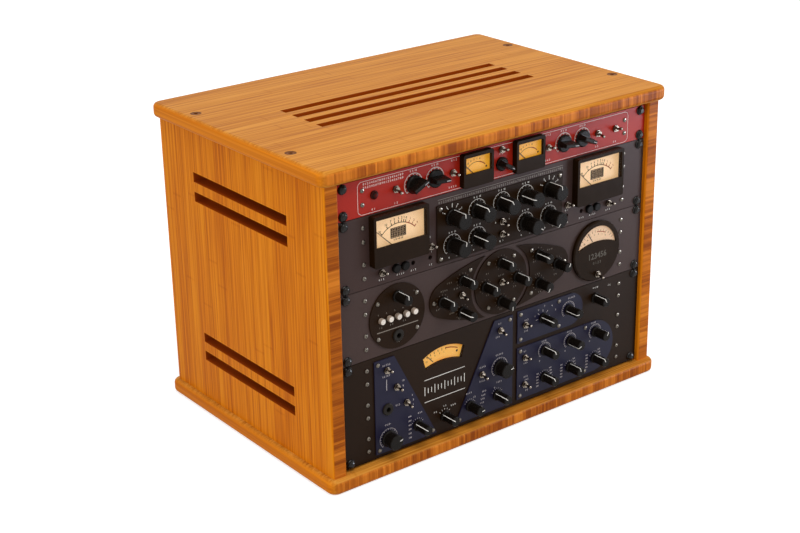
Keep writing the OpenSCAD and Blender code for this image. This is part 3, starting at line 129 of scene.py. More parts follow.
paper.links.new(paper_sum.outputs[0], paper.nodes["Material Output"].inputs["Surface"])
sweep_mesh.materials.append(sweep_paper)
sweep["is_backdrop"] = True

for name, place, target, size, watts in (
        ("softbox_above", (-0.3, -0.85, 2.4), (0, 0, 0.2), 1.9, 35),
        ("softbox_left", (-2.4, -0.6, 1.1), (0, 0, 0.2), 1.5, 16.5),
        ("softbox_right", (2.0, -1.3, 0.9), (0.1, -0.1, 0.25), 1.2, 15),
        ("softbox_behind", (1.3, 2.4, 1.5), (0, 0, 0.2), 1.5, 12),
        ("gloss_card_right", (1.42, -1.17, 0.2), (0.2, -0.17, 0.25), 0.7, 48)):
    lamp = bpy.data.lights.new(name, "AREA")
    lamp.size = size
    lamp.energy = watts
    softbox = bpy.data.objects.new(name, lamp)
    softbox.location = place
    softbox.rotation_mode = "QUATERNION"
    softbox.rotation_quaternion = (Vector(target) - Vector(place)).to_track_quat("-Z", "Y")
    if name == "gloss_card_right":
        lamp.color = (0.88, 0.97, 1.15)
        softbox.visible_diffuse = False
    softbox.visible_glossy = name != "softbox_behind"
    bpy.context.scene.collection.objects.link(softbox)


# Four boards of caramel bamboo ply under satin lacquer: base, two sides and top. Their faces show long strips
# with the knuckles of the cane, and their front edges the cut ends of the cross layer.
def new_finish(name):
    material = bpy.data.materials.new(name)
    material.use_nodes = True
    return material, material.node_tree, material.node_tree.nodes["Principled BSDF"]


def dress(material, *names):
    for name in names:
        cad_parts[name].data.materials.clear()
        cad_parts[name].data.materials.append(material)


def ramp(tree, factor, *stops):
    made = add(tree, "ShaderNodeValToRGB", {"Fac": factor})
    elements = made.color_ramp.elements
    elements[0].position, elements[1].position = stops[0][0], stops[-1][0]
    for position, _ in stops[1:-1]:
        elements.new(position)
    for element, (_, colour) in zip(elements, stops):
        element.color = (*colour, 1)
    return made.outputs["Color"]


def maths(tree, operation, *values):
    return add(tree, "ShaderNodeMath", dict(enumerate(values)), operation=operation).outputs[0]


def stretched_noise(tree, place, scale, detail):
    along = add(tree, "ShaderNodeMapping", {"Vector": place, "Scale": scale}).outputs[0]
    return add(tree, "ShaderNodeTexNoise", {"Vector": along, "Scale": 1.0, "Detail": detail}).outputs["Fac"]


def blend(tree, factor, first, second):
    return add(tree, "ShaderNodeMix", {"Factor": factor, 6: first, 7: second}, data_type="RGBA").outputs[2]


def relief(tree, shader, height, strength, depth):
    bump = add(tree, "ShaderNodeBump", {"Strength": strength, "Distance": depth, "Height": height})
    tree.links.new(bump.outputs[0], shader.inputs["Normal"])


def bamboo(name, grain, *shades):
    """Ply whose strips run along axis number grain, in a dark, a middle and a light shade."""
    strip_width, knuckle_gap, slat_width, slat_wander = 19.5 * mm, 310 * mm, 3.6 * mm, 11 * mm
    edge_start, slot_reach, lacquer_gloss = 165 * mm, 250 * mm, 0.03
    across_grain = 2 - grain
    material, tree, shader = new_finish(name)
    place = add(tree, "ShaderNodeTexCoord").outputs["Object"]
    xyz = add(tree, "ShaderNodeSeparateXYZ", {0: place}).outputs
    normal = add(tree, "ShaderNodeNewGeometry").outputs["Normal"]
    facing = add(tree, "ShaderNodeSeparateXYZ", {0: normal}).outputs
    length = xyz["XYZ"[grain]]

    def lines(along, slow, fast, detail):
        scale = tuple(slow if axis == along else fast for axis in range(3))
        return stretched_noise(tree, place, scale, detail)

    def mixed(first, share, second):
        return maths(tree, "ADD", maths(tree, "MULTIPLY", first, 1 - share),
                     maths(tree, "MULTIPLY", second, share))

    def absolute(value):
        return maths(tree, "ABSOLUTE", value)

    def shade_of_each(run, width):
        number = maths(tree, "FLOOR", maths(tree, "DIVIDE", run, width))
        return add(tree, "ShaderNodeTexWhiteNoise", {"W": number}, noise_dimensions="1D").outputs["Value"]

    fibre = lines(grain, 9, 560, 3)
    strip = lines(grain, 2.2, 240, 2)
    plank = lines(grain, 0.9, 34, 2)
    start = shade_of_each(xyz["Y"], strip_width)
    ring = maths(tree, "FRACT", maths(tree, "ADD", maths(tree, "DIVIDE", length, knuckle_gap), start))
    knuckle = ranged(tree, absolute(maths(tree, "SUBTRACT", ring, 0.5)), 0.0, 0.008, 0.05, 0.0)
    tone = maths(tree, "SUBTRACT", mixed(mixed(strip, 0.4, plank), 0.45, fibre), knuckle)
    colour = ramp(tree, tone, *zip((0.39, 0.5, 0.61), shades))
    if grain == 0:
        ends = ramp(tree, lines(1, 3, 330, 3), (0.34, (0.58, 0.152, 0.006)), (0.66, (0.73, 0.226, 0.01)))
        colour = blend(tree, ranged(tree, absolute(facing["X"]), 0.3, 0.9), colour, ends)

    wander = maths(tree, "MULTIPLY", lines(across_grain, 5, 90, 1), slat_wander)
    slat_tone = shade_of_each(maths(tree, "ADD", length, wander), slat_width)
    patch_tone = ranged(tree, lines(across_grain, 4, 42, 1), 0.36, 0.64)
    cut = mixed(mixed(lines(across_grain, 14, 420, 2), 0.36, patch_tone), 0.25, slat_tone)
    layers = ramp(tree, cut, (0.3, (0.29, 0.064, 0.007)), (0.5, (0.51, 0.134, 0.011)),
                  (0.7, (0.7, 0.22, 0.022)))
    outside = maths(tree, "GREATER_THAN", absolute(xyz["Y"]), edge_start)
    at_front = maths(tree, "MULTIPLY", outside, ranged(tree, absolute(facing["Y"]), 0.75, 0.95))
    colour = blend(tree, at_front, colour, layers)

    # The walls of the vent slots are dark and lose their gloss: partly the darker cut wood, partly painted
    # shade of the deep slots.
    in_slot = maths(tree, "MULTIPLY", maths(tree, "LESS_THAN", absolute(facing["XYZ"[across_grain]]), 0.5),
                    maths(tree, "LESS_THAN", absolute(xyz["Y"]), edge_start))
    if grain == 0:
        in_slot = maths(tree, "MULTIPLY", in_slot, maths(tree, "LESS_THAN", absolute(xyz["X"]), slot_reach))
    colour = blend(tree, in_slot, colour, (0.33, 0.05, 0.004, 1))
    # A dark ring is laid round each screw head, in the countersink.
    if grain == 0:
        screw_corner, head_radius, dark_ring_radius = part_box("cabinet_screws")[1], 5.5 * mm, 6.9 * mm
        off = [maths(tree, "SUBTRACT", absolute(xyz["XY"[k]]), screw_corner[k] - head_radius) for k in (0, 1)]
        off_squared = maths(tree, "ADD", *(maths(tree, "POWER", way, 2.0) for way in off))
        sunk = maths(tree, "LESS_THAN", off_squared, dark_ring_radius ** 2)
        colour = blend(tree, sunk, colour, (0.13, 0.036, 0.003, 1))
    tree.links.new(colour, shader.inputs["Base Color"])
    tree.links.new(ranged(tree, fibre, 0.0, 1.0, 0.3, 0.46), shader.inputs["Roughness"])
    relief(tree, shader, fibre, 0.1, 0.3 * mm)
    shader.inputs["Specular IOR Level"].default_value = lacquer_gloss
    tree.links.new(ranged(tree, in_slot, 0.0, 1.0, lacquer_gloss, 0.0), shader.inputs["Specular IOR Level"])
    return material


# The flat boards and the uprights are one ply; the uprights' deeper, redder shades and the flat boards' paler
# ones are painted light, for how each face is lit.
flat_bamboo = bamboo("flat_board_bamboo", 0, (0.385, 0.117, 0.009), (0.535, 0.201, 0.022),
                     (0.65, 0.28, 0.043))
upright_bamboo = bamboo("upright_board_bamboo", 2, (0.49, 0.108, 0.002), (0.683, 0.19, 0.004),
                        (0.81, 0.275, 0.011))
dress(flat_bamboo, "cabinet_base", "cabinet_top")
dress(upright_bamboo, "left_side", "right_side")


# Eight countersunk screws of bronzed steel, turned from below and above through the boards into the sides
# with a hexagon key.
# Faces turned away from the front take the sides colour: painted shade on the sides of a part.
def painted_side_shade(tree, tone, sides):
    normal = add(tree, "ShaderNodeTexCoord").outputs["Normal"]
    facing = add(tree, "ShaderNodeSeparateXYZ", {0: normal}).outputs["Y"]
    front_on = ranged(tree, maths(tree, "ABSOLUTE", facing), 0.7, 0.95)
    return blend(tree, front_on, (*sides, 1), tone)


def coat(name, colour, rough, fleck=0.12, scale=700, depth=0.04 * mm, shine=0.2, sides=None):
    """Paint, ink or plastic with specks of the given scale and faint clouds in its colour and gloss; with
    sides given, faces turned away from the front take that colour as painted shade.
    """
    material, tree, shader = new_finish(name)
    place = add(tree, "ShaderNodeTexCoord").outputs["Object"]

    def noise(fineness, detail):
        return add(tree, "ShaderNodeTexNoise", {
            "Vector": place, "Scale": float(fineness), "Detail": detail}).outputs["Fac"]

    speck, cloud = noise(scale, 2.0), noise(9, 3.0)
    mix = maths(tree, "ADD", maths(tree, "MULTIPLY", speck, 0.5), maths(tree, "MULTIPLY", cloud, 0.5))
    tone = ramp(tree, mix, (0.3, tuple((1 - fleck) * c for c in colour)),
                (0.7, tuple((1 + fleck) * c for c in colour)))
    tree.links.new(painted_side_shade(tree, tone, sides) if sides else tone, shader.inputs["Base Color"])
    tree.links.new(ranged(tree, mix, 0.3, 0.7, 0.88 * rough, 1.12 * rough), shader.inputs["Roughness"])
    relief(tree, shader, speck, 0.2, depth)
    shader.inputs["Specular IOR Level"].default_value = shine
    return material


dress(coat("bronzed_steel", (0.17, 0.05, 0.006), rough=0.4, fleck=0.15, shine=0.05), "cabinet_screws")


# Two rails of folded steel sheet behind the front edges of the sides, black zinc plated, with a row of holes
# that takes the rack screws.
# With sides given, faces turned away from the front take that colour as painted shade.
def metal(name, colour, rough, sides=None):
    material, tree, shader = new_finish(name)
    place = add(tree, "ShaderNodeTexCoord").outputs["Object"]
    grain = stretched_noise(tree, place, (900, 900, 900), 3)
    tone = ramp(tree, grain, (0.3, tuple(0.82 * c for c in colour)), (0.7, colour))
    tree.links.new(painted_side_shade(tree, tone, sides) if sides else tone, shader.inputs["Base Color"])
    tree.links.new(ranged(tree, grain, 0.0, 1.0, 0.75 * rough, 1.3 * rough), shader.inputs["Roughness"])
    relief(tree, shader, grain, 0.15, 0.05 * mm)
    shader.inputs["Metallic"].default_value = 1
    return material


dress(metal("black_zinc", (0.09, 0.09, 0.1), rough=0.4), "rack_rails")


# Sheet steel chassis of the four units, powder coated in dark grey. The compressor's has a lid with round
# vents over its valves.
# The faces of the chassis turned away from the front, its top, bottom and ends, take the darker sides colour:
# painted shade.
powder_coat = coat("dark_powder_coat", (0.06, 0.055, 0.05), rough=0.55, fleck=0.15, scale=1500,
                   depth=0.2 * mm, shine=0.1, sides=(0.02, 0.016, 0.013))
dress(powder_coat, "limiter_chassis", "compressor_chassis", "compressor_cover", "strip_chassis",
      "voice_chassis")


# Inside the compressor: nine potentiometers behind the panel, a green circuit board on posts, six valves and
# three transformers.
dress(metal("pot_can_steel", (0.55, 0.54, 0.52), rough=0.3), "compressor_pots")
dress(coat("green_solder_mask", (0.02, 0.14, 0.05), rough=0.3), "compressor_board")
dress(coat("varnished_core", (0.05, 0.045, 0.05), rough=0.4, fleck=0.3), "compressor_transformers")
valve_glass = coat("valve_glass", (0.8, 0.85, 0.85), rough=0.05, fleck=0.03)
valve_glass.node_tree.nodes["Principled BSDF"].inputs["Transmission Weight"].default_value = 0.85
dress(valve_glass, "compressor_valves")


# Rear sockets, front jacks and mains inlets of black moulded nylon. The outputs have gold plated pins and the
# inputs gold contacts, two screws hold each flange, and the inlets have nickel blades.
moulded_black = coat("moulded_black", (0.013, 0.01, 0.007), rough=0.38, fleck=0.2, scale=1200, shine=0.09)
dress(moulded_black, "sockets", "mains_inlets")


def middle(node):
    low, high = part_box(node)
    return (low.z + high.z) / 2


def fitted(name, points, faces, finish, body="rack"):
    mesh = bpy.data.meshes.new(name)
    mesh.from_pydata(points, [], faces)
    mesh.materials.append(finish)
    piece = bpy.data.objects.new(name, mesh)
    bpy.context.scene.collection.objects.link(piece)
    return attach(piece, body)


def stacked(name, spots, rings, finish):
    """One closed-ended form of stacked rings, in millimetres, at each of the spots."""
    points, faces, n = [], [], len(rings[0])
    for spot in spots:
        start = len(points)
        points += [Vector(spot) + Vector(p) * mm for ring in rings for p in ring]
        for low in range(start, start + n * (len(rings) - 1), n):
            faces += [(low + k, low + (k + 1) % n, low + n + (k + 1) % n, low + n + k) for k in range(n)]
        faces.append(tuple(range(len(points) - n, len(points))))
    return fitted(name, points, faces, finish)


def turned(*profile):
    turns = [k * math.pi / 8 for k in range(16)]
    return [[(r * math.cos(t), out, r * math.sin(t)) for t in turns] for r, out in profile]


gold = metal("gold_plate", (0.7, 0.42, 0.12), rough=0.22)
nickel = metal("blade_nickel", (0.5, 0.47, 0.43), rough=0.25)
# dark_bore is painted shade for the hollows of the socket contacts.
dark_bore = coat("dark_bore", (0.008, 0.007, 0.006), rough=0.6, fleck=0.2, shine=0.05)
inlet_x = 195
sockets_in_out = {"limiter": ((-190, -150), (-98, -58)), "compressor": ((-190, -150), (-98, -58)),
                  "strip": ((-190,), (-98,)), "voice": ((-190,), (-98,))}
input_spots, output_spots, inlet_spots = [], [], []
for unit, (inputs, outputs) in sockets_in_out.items():
    rear_y, rear_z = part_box(unit + "_chassis")[1].y, middle(unit + "_panel")
    input_spots += [(x * mm, rear_y, rear_z) for x in inputs]
    output_spots += [(x * mm, rear_y, rear_z) for x in outputs]
    inlet_spots.append((inlet_x * mm, rear_y, rear_z))


def beside(spots, *offsets):
    return [(x + dx * mm, y, z + dz * mm) for x, y, z in spots for dx, dz in offsets]


three_ways = ((4.33, -2.5), (-4.33, -2.5), (0, 5))
contact_spots = beside(input_spots, *three_ways)
screw_spots = beside(input_spots + output_spots, (-9.5, -11.8), (9.5, 11.8))
stacked("socket_pins", beside(output_spots, *three_ways),
        turned((1.25, -12.3), (1.25, -3.9), (0.95, -3.45), (0.4, -3.25)), gold)
stacked("socket_contacts", contact_spots, turned((1.6, 3), (1.55, 3.08), (1.05, 3.08), (1, 3.04)), gold)
# A dark disc in each contact stands in for the shade inside its hollow: painted shade.
stacked("contact_bores", contact_spots, turned((1.02, 3.05), (0.4, 3.06)), dark_bore)
stacked("flange_screws", screw_spots, turned((1.75, 1.6), (1.75, 1.9), (1.3, 2.25), (0.5, 2.35)), nickel)
blade = [[(-w, out, -h), (w, out, -h), (w, out, h), (-w, out, h)]
         for w, h, out in ((1.05, 2.05, -12.9), (1.05, 2.05, -3.6), (0.6, 1.6, -2.95))]
stacked("inlet_blades", beside(inlet_spots, (-7, -2), (0, 2), (7, -2)), blade, nickel)


# Limiter panel: red anodised aluminium with white print, a thin frame line round the controls and a ring of
# ticks at each knob.
class Silkscreen:
    """Ink on a flat face in millimetres, x to the right and y up. Angles run clockwise from the top."""
    glyphs = {}

    def __init__(self):
        self.points, self.faces = [], []

    @staticmethod
    def around(centre, r, turn):
        turn = math.radians(turn)
        return centre[0] + r * math.sin(turn), centre[1] + r * math.cos(turn)

    def patch(self, ring):
        self.faces.append(tuple(range(len(self.points), len(self.points) + len(ring))))
        self.points += [tuple(p) for p in ring]

    def stroke(self, path, width):
        for a, b in zip(path, path[1:]):
            run = Vector(b) - Vector(a)
            side = Vector((-run.y, run.x)).normalized() * width / 2
            tail = run.normalized() * width * 0.25
            a2, b2 = Vector(a) - tail, Vector(b) + tail
            self.patch([a2 - side, b2 - side, b2 + side, a2 + side])

    def arc(self, centre, r, start, end, width):
        steps = max(6, int(abs(end - start) / 7))
        turns = [start + (end - start) * k / steps for k in range(steps + 1)]
        self.stroke([self.around(centre, r, turn) for turn in turns], width)

    def ticks(self, centre, inner, outer, turns, width):
        for turn in turns:
            self.stroke([self.around(centre, inner, turn), self.around(centre, outer, turn)], width)

    def dot(self, x, y, r):
        turns = [k * math.pi / 6 for k in range(12)]
        self.patch([(x + r * math.cos(t), y + r * math.sin(t)) for t in turns])

    def frame_line(self, x0, y0, x1, y1, r, width):
        path = []
        for corner, start in (((x1 - r, y1 - r), 0), ((x1 - r, y0 + r), 90), ((x0 + r, y0 + r), 180),
                              ((x0 + r, y1 - r), 270)):
            path += [self.around(corner, r, start + k * 18) for k in range(6)]
        self.stroke(path + path[:1], width)

    def figures(self, text, x, y, size):
        if text not in self.glyphs:
            curve = bpy.data.curves.new("figures", "FONT")
            curve.body, curve.resolution_u, curve.offset = text, 2, 0.018
            curve.align_x, curve.align_y = "CENTER", "CENTER"
            form = bpy.data.objects.new("figures", curve)
            mesh = bpy.data.meshes.new_from_object(form)
            self.glyphs[text] = ([v.co.xy.copy() for v in mesh.vertices],
                                 [tuple(p.vertices) for p in mesh.polygons])
            bpy.data.objects.remove(form)
            bpy.data.curves.remove(curve)
            bpy.data.meshes.remove(mesh)
        points, faces = self.glyphs[text]
        start = len(self.points)
        self.points += [(x + p.x * size, y + p.y * size) for p in points]
        self.faces += [tuple(start + k for k in face) for face in faces]

    def legends(self, rows, size):
        for x, y, text in rows:
            self.figures(text, x, y, size)

    def scale_figures(self, centre, r, rows, size):
        for text, turn in rows:
            self.figures(text, *self.around(centre, r, turn), size)

    def dial(self, x, y, r, count=11, width=0.45, sweep=135):
        self.arc((x, y), r, -sweep, sweep, width)
        self.ticks((x, y), r - 1.7, r, [-sweep + 2 * sweep * k / (count - 1) for k in range(count)], width)

    def lay(self, name, mid, depth, ink, side=1):
        return fitted(name, [(side * x * mm, depth, mid + y * mm) for x, y in self.points], self.faces, ink)


ink_lift = 0.06 * mm
white_ink = coat("white_screen_ink", (0.88, 0.84, 0.78), rough=0.5, fleck=0.06, scale=3000)
dress(coat("red_anodised", (0.4, 0.0165, 0.006), rough=0.42, fleck=0.08, shine=0.1), "limiter_panel")
limiter_mid = middle("limiter_panel")
limiter_print = Silkscreen()
limiter_print.frame_line(-211.5, -20.3, 211.5, 18.7, r=6, width=0.45)
for x in (-132.5, -101, 101, 132.5):
    limiter_print.dial(x, 0, 13, width=0.95)
    limiter_print.figures("0  5  10", x, 15.9, 3.2)
limiter_print.legends((
    (-190, -17, "0  1"), (-158, -17, "1  2"), (-72.5, 15.6, "0  1  2"), (-75, -16.5, "3  4  5  6"),
    (0, 8.2, "1   2"), (75, 15.6, "0  1  2"), (75, -16.5, "3  4  5"), (158, -16.5, "1  2"),
    (189, -16.5, "0  1")), 3.2)
limiter_print.legends([(-203 + 2.9 * k, row, str(k % 10)) for row in (15.3, 11.2) for k in range(20)], 3.6)
limiter_print.lay("limiter_print", limiter_mid, panel_front - ink_lift, white_ink)


# Compressor panel of slate painted aluminium, with a black control plate screwed on it; white print round the
# knobs and at the switches.
dress(coat("slate_paint", (0.05, 0.0275, 0.0235), rough=0.45, fleck=0.1, shine=0.08), "compressor_panel")
dress(coat("black_plate_paint", (0.0165, 0.0068, 0.0019), rough=0.42, fleck=0.15, shine=0.045),
      "compressor_plate", "strip_plates")
compressor_mid = middle("compressor_panel")
plate_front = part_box("compressor_plate")[0].y
grey_ink = coat("grey_screen_ink", (0.24, 0.2, 0.16), rough=0.5, fleck=0.12, scale=3000)
head_print = Silkscreen()
head_print.stroke([(-97, 38.4), (101, 38.4)], 0.5)
head_print.legends([(-95 + 3.3 * k, 34.6, str(k % 10)) for k in range(60)], 4.4)
head_print.lay("compressor_head_print", compressor_mid, panel_front - ink_lift, grey_ink)
panel_print = Silkscreen()
panel_print.legends((
    (-181, -38.5, "0  1  2"), (-153.5, -38.5, "0  1  2  3"), (-134.5, -38.5, "0  1  2"),
    (-109, -38.5, "1  2"), (-109, -22.5, "0   1"), (-109, -3.8, "1"), (181, -38.5, "0  1  2"),
    (153.5, -38.5, "0  1  2  3"), (134.5, -38.5, "0  1  2"), (109, -38.5, "1  2"), (109, -22.5, "0   1"),
    (109, -3.8, "2")), 2.9)
panel_print.lay("compressor_panel_print", compressor_mid, panel_front - ink_lift, white_ink)
plate_print = Silkscreen()
upper_row, lower_row, knob_pitch = 14, -21, 38.4
compressor_spots = [(knob_pitch * k, upper_row) for k in (-2, -1, 0, 1, 2)]
compressor_spots += [(knob_pitch * k, lower_row) for k in (-2, -1, 1, 2)]
five_way_spots = compressor_spots[0], compressor_spots[4]
for x, y in (spot for spot in compressor_spots if spot not in five_way_spots):
    plate_print.dial(x, y, 13.2, width=0.55)
    plate_print.figures("0   5   10", x, y + 15.8, 3)
for x, y in five_way_spots:
    plate_print.ticks((x, y), 12, 14.6, range(-60, 61, 30), 0.7)
    for k in range(5):
        turn = math.radians(-60 + 30 * k)
        plate_print.figures(str(k + 1), x + 16.6 * math.sin(turn), y + 15.8 * math.cos(turn), 3)
plate_print.legends((
    (-9.5, -10, "0"), (12, -10, "1"), (0, -35.5, "0    1"), (-82, -36.2, "0"), (-70, -36.2, "10"),
    (-44, -36.2, "0"), (-31, -36.2, "10"), (32, -36.2, "0"), (46, -36.2, "10"), (71, -36.2, "0"),
    (84, -36.2, "10")), 3)
plate_print.lay("compressor_plate_print", compressor_mid, plate_front - ink_lift, white_ink)


# Channel strip panel, slate grey, with black plates: a round one for the input, a round one in the middle and
# two leaves beside it. Its print is small and grey.
dress(coat("slate_grey_paint", (0.057, 0.0345, 0.03), rough=0.45, fleck=0.1, shine=0.08), "strip_panel")
strip_mid = middle("strip_panel")
strip_print = Silkscreen()
strip_print.stroke([(-190, -14.4), (-130, -14.4)], 1.1)
strip_print.legends((
    (-188, 8, "1"), (-176, 8, "2"), (-164, 8, "3"), (-152, 8, "4"), (-140, 8, "5"), (-185, -8.5, "1  2"),
    (-169, -8.5, "3  4"), (-150, -8.5, "5  6"), (-160, -33, "1  2"), (-135, 25, "1"), (-132, 20, "2"),
    (-90, 12, "0  2  4  6"), (-82, 20, "1  2  3"), (-72, 10, "5  10"), (-100, -10, "0  1"),
    (-78, -20, "2  4  6"), (-66, -29.5, "0  5"), (80, 22, "0  5  10"), (60, -6, "1  2  3"), (55, 12, "0  1"),
    (90, -14, "2  4"), (64, -31, "0  5"), (-22, 16, "0  1"), (0, 8.5, "0  5  10"), (-22, -12, "1  2"),
    (22, -12, "3  4"), (0, -36.5, "0  5")), 2.8)
strip_spots = [(-160, 25.5), (-61, 18.5), (-92.5, -1), (-62, -23), (61, 20), (92.5, 0.5), (62, -18),
               (0, 25.5), (-25.5, 0), (25.5, 0), (0, -25.5)]
for spot in strip_spots[1:]:
    strip_print.ticks(spot, 8.4, 9.8, range(-150, 151, 30), 0.35)
strip_print.lay("strip_print", strip_mid, plate_front - ink_lift, grey_ink)


# Voice processor panel, black anodised, with four dark blue plates; its print is pale, in columns of figures
# beside the switches.
dress(coat("black_anodised", (0.0142, 0.0053, 0.0008), rough=0.45, fleck=0.15, shine=0.065), "voice_panel")
dress(coat("dark_blue_paint", (0.0105, 0.0088, 0.026), rough=0.42, fleck=0.14, shine=0.12), "voice_plates")
voice_mid = middle("voice_panel")
pale_ink = coat("pale_screen_ink", (0.5, 0.45, 0.46), rough=0.5, fleck=0.1, scale=3000)
voice_print = Silkscreen()
for x, y, r in ((-176.8, -44, 13), (-1.5, -4, 13), (114.5, 42, 11), (74.5, -3.25, 10.5), (119, -3.25, 10.5),
                (163.5, -3.25, 10.5)):
    voice_print.dial(x, y, r, count=17, width=0.6)
for spot in ((-132.8, -41), (-50, -42), (-5.6, -41), (74.5, -40.75), (119, -40.75), (163.5, -40.75)):
    voice_print.ticks(spot, 8.2, 9.6, range(-60, 61, 20), 0.5)
voice_print.ticks((70.5, 42.5), 8.8, 11.6, range(-90, 91, 45), 0.7)
voice_print.stroke([(-178, 33.6), (-178.3, 20)], 0.9)
voice_print.legends((
    (-178, 52.8, "0 1 2 3 4"), (-178.5, 38.5, "5 6 7 8 9"), (-153.2, 25.5, "12"), (-153.4, 18.5, "8"),
    (-153.5, 12.7, "4"), (-140, 1.8, "3"), (-138.6, -4.7, "2"), (-138.7, -10.7, "1"), (-162.2, -4.5, "0 1 2"),
    (-178, -25.5, "0 5 10"), (-128.7, -25.5, "0 2 4"), (-1.5, 55, "0  1"), (-5, 38, "2 4 6"),
    (-1.8, 13.4, "0 5 10 15"), (-30, 4.5, "1 2 3 4 5"), (-30, -14.6, "0 1 2 3"), (-51.5, -24.6, "0 1 2 3"),
    (-42.5, -32.4, "4 5"), (-2.4, -24, "1 2 3 4"), (-9.7, -30.2, "0"), (42.8, 47.5, "0 1 2"),
    (42.2, 32.6, "2 4 6"), (119.8, 56.9, "0 5 10 15"), (41, 4.6, "0 1"), (42, -11.8, "2 4 6"),
    (42.5, -30.9, "0 1 2"), (44.2, -35.7, "3 4 5"), (32.4, -41.2, "6"), (44.5, -50.7, "7 8"),
    (73.3, 9.5, "0 5 10"), (117.8, 9.8, "0 5 10"), (160.6, 9.8, "0 5 10"), (66.2, -16.4, "0"),
    (110.6, -15.7, "0"), (154.4, -14.5, "0"), (57.1, 48.2, "1"), (62.9, 55.5, "2"), (73, 58.6, "3"),
    (86, 55.2, "4"), (92.2, 47.9, "5")), 3.1)
voice_print.legends([(-144.3, -26.1 - 5.7 * k, str(600 - 100 * k)) for k in range(6)], 3.1)
voice_print.legends([(-27 - 1.1 * k, -29.3 - 5.05 * k, text)
                     for k, text in enumerate(("10 12", "4 6 8", "3 4 5", "1 2 3", "0 1"))], 3)
for x in (64, 105.7, 150.8):
    for k in range(5):
        voice_print.figures(str(100 * (k + 1)), x - 1, -33.8 - 4.3 * k, 2.8)
        voice_print.figures(str(600 + 100 * k), x + 21 + 0.8 * k, -31.2 - 4.2 * k, 2.8)
voice_print.lay("voice_plate_print", voice_mid, plate_front - ink_lift, pale_ink)
centre_print = Silkscreen()
for y in (13.5, -16):
    centre_print.stroke([(-120, y), (-57, y)], 0.8)
for k in range(13):
    x, tall = -119.5 + 5.17 * k, 5.5 if k % 3 == 0 else 3.2
    centre_print.stroke([(x, -1.2 - tall), (x, -1.2 + tall)], 0.9)
centre_print.ticks((-89, -43.6), 8.6, 10.4, range(-50, 51, 25), 0.5)
centre_print.legends((
    (163.8, 58.2, "0  5  10"), (188.4, 55.1, "1  2"), (-103.8, -34.2, "0  2"), (-75.6, -32.8, "4  6  8"),
    (-88.8, -30, "1  3")), 2.9)
centre_print.lay("voice_panel_print", voice_mid, panel_front - ink_lift, white_ink)


# Rear of the chassis: eight pan head screws round each back, a small plate with figures beside the inlet,
# and a plain number printed over each socket and inlet.
brown_ink = coat("brown_ink", (0.02, 0.009, 0.004), rough=0.6, fleck=0.15, scale=3000, shine=0.05)
pan_head = turned((2.2, -0.3), (2.2, 0.6), (1.6, 1.15), (0.6, 1.35))
screw_inset, screw_edge = 5 * mm, 4.5 * mm
for unit, (inputs, outputs) in sockets_in_out.items():
    (low_x, _, low_z), (high_x, rear_y, high_z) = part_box(unit + "_chassis")
    rear_z = middle(unit + "_panel")
    rear_print, plate, plate_figures = Silkscreen(), Silkscreen(), Silkscreen()
    rear_print.legends([(-x, 18.2, str(k + 1)) for k, x in enumerate((*inputs, *outputs, inlet_x))], 4)
    plate.frame_line(-150, -8, -110, 8, r=1.2, width=0.5)
    plate.patch([(-149, -7), (-111, -7), (-111, 7), (-149, 7)])
    plate_figures.legends(((-130, 3.4, "230   50"), (-130, -3.4, "0.5   40")), 4.4)
    rear_print.lay(unit + "_rear_print", rear_z, rear_y + ink_lift, pale_ink, side=-1)
    plate.lay(unit + "_rating_plate", rear_z, rear_y + ink_lift, nickel, side=-1)
    plate_figures.lay(unit + "_rating_figures", rear_z, rear_y + 2 * ink_lift, brown_ink, side=-1)
    screw_columns = (low_x + screw_inset, 0.3 * low_x, 0.3 * high_x, high_x - screw_inset)
    back_screws = [(x, rear_y, z) for x in screw_columns for z in (low_z + screw_edge, high_z - screw_edge)]
    stacked(unit + "_back_screws", back_screws, pan_head, nickel)


# Meters: polished black cases with a clear window, a printed dial with a painted glow and a thin black
# needle.
# The limiter's dials are amber, the voice processor's is orange, the others are cream.
polished_black = coat("polished_black", (0.0145, 0.006, 0.0016), rough=0.25, fleck=0.2, scale=60, shine=0.06)
dress(polished_black, "meter_cases")
dial_front, low_dial_front, needle_gap = panel_front - 2.6 * mm, panel_front + 4 * mm, 0.03 * mm
arc_pivot, arc_radius = (-89.5, -12), 53.3
dial_paper, tree, shader = new_finish("lit_dial_paper")
dial_object = add(tree, "ShaderNodeTexCoord").outputs["Object"]
dial_place = add(tree, "ShaderNodeSeparateXYZ", {0: dial_object}).outputs
unit_floor = [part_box(n)[0].z for n in ("strip_panel", "compressor_panel", "limiter_panel")]
fibre = add(tree, "ShaderNodeTexNoise", {"Scale": 260.0, "Detail": 3.0}).outputs["Fac"]
dial_flat = add(tree, "ShaderNodeCombineXYZ", {"X": dial_place["X"], "Z": dial_place["Z"]}).outputs[0]
arc_centre = (arc_pivot[0] * mm, 0, voice_mid + arc_pivot[1] * mm)
arc_way = add(tree, "ShaderNodeVectorMath", {0: dial_flat, 1: arc_centre}, operation="DISTANCE")
off_arc = maths(tree, "ABSOLUTE", maths(tree, "SUBTRACT", arc_way.outputs["Value"], arc_radius * mm))
arc_rim = ranged(tree, off_arc, 6 * mm, 10.5 * mm)


def dial_tones(orange, cream, pale_cream, amber):
    tones = [ramp(tree, fibre, (0.3, tuple(0.93 * c for c in tone)), (0.7, tone))
             for tone in (orange, cream, pale_cream, amber)]
    rim_tone = tuple(k * c for k, c in zip((0.95, 0.62, 0.2), orange))
    colour = blend(tree, arc_rim, tones[0], (*rim_tone, 1))
    for floor, tone in zip(unit_floor, tones[1:]):
        colour = blend(tree, maths(tree, "GREATER_THAN", dial_place["Z"], floor), colour, tone)
    return colour


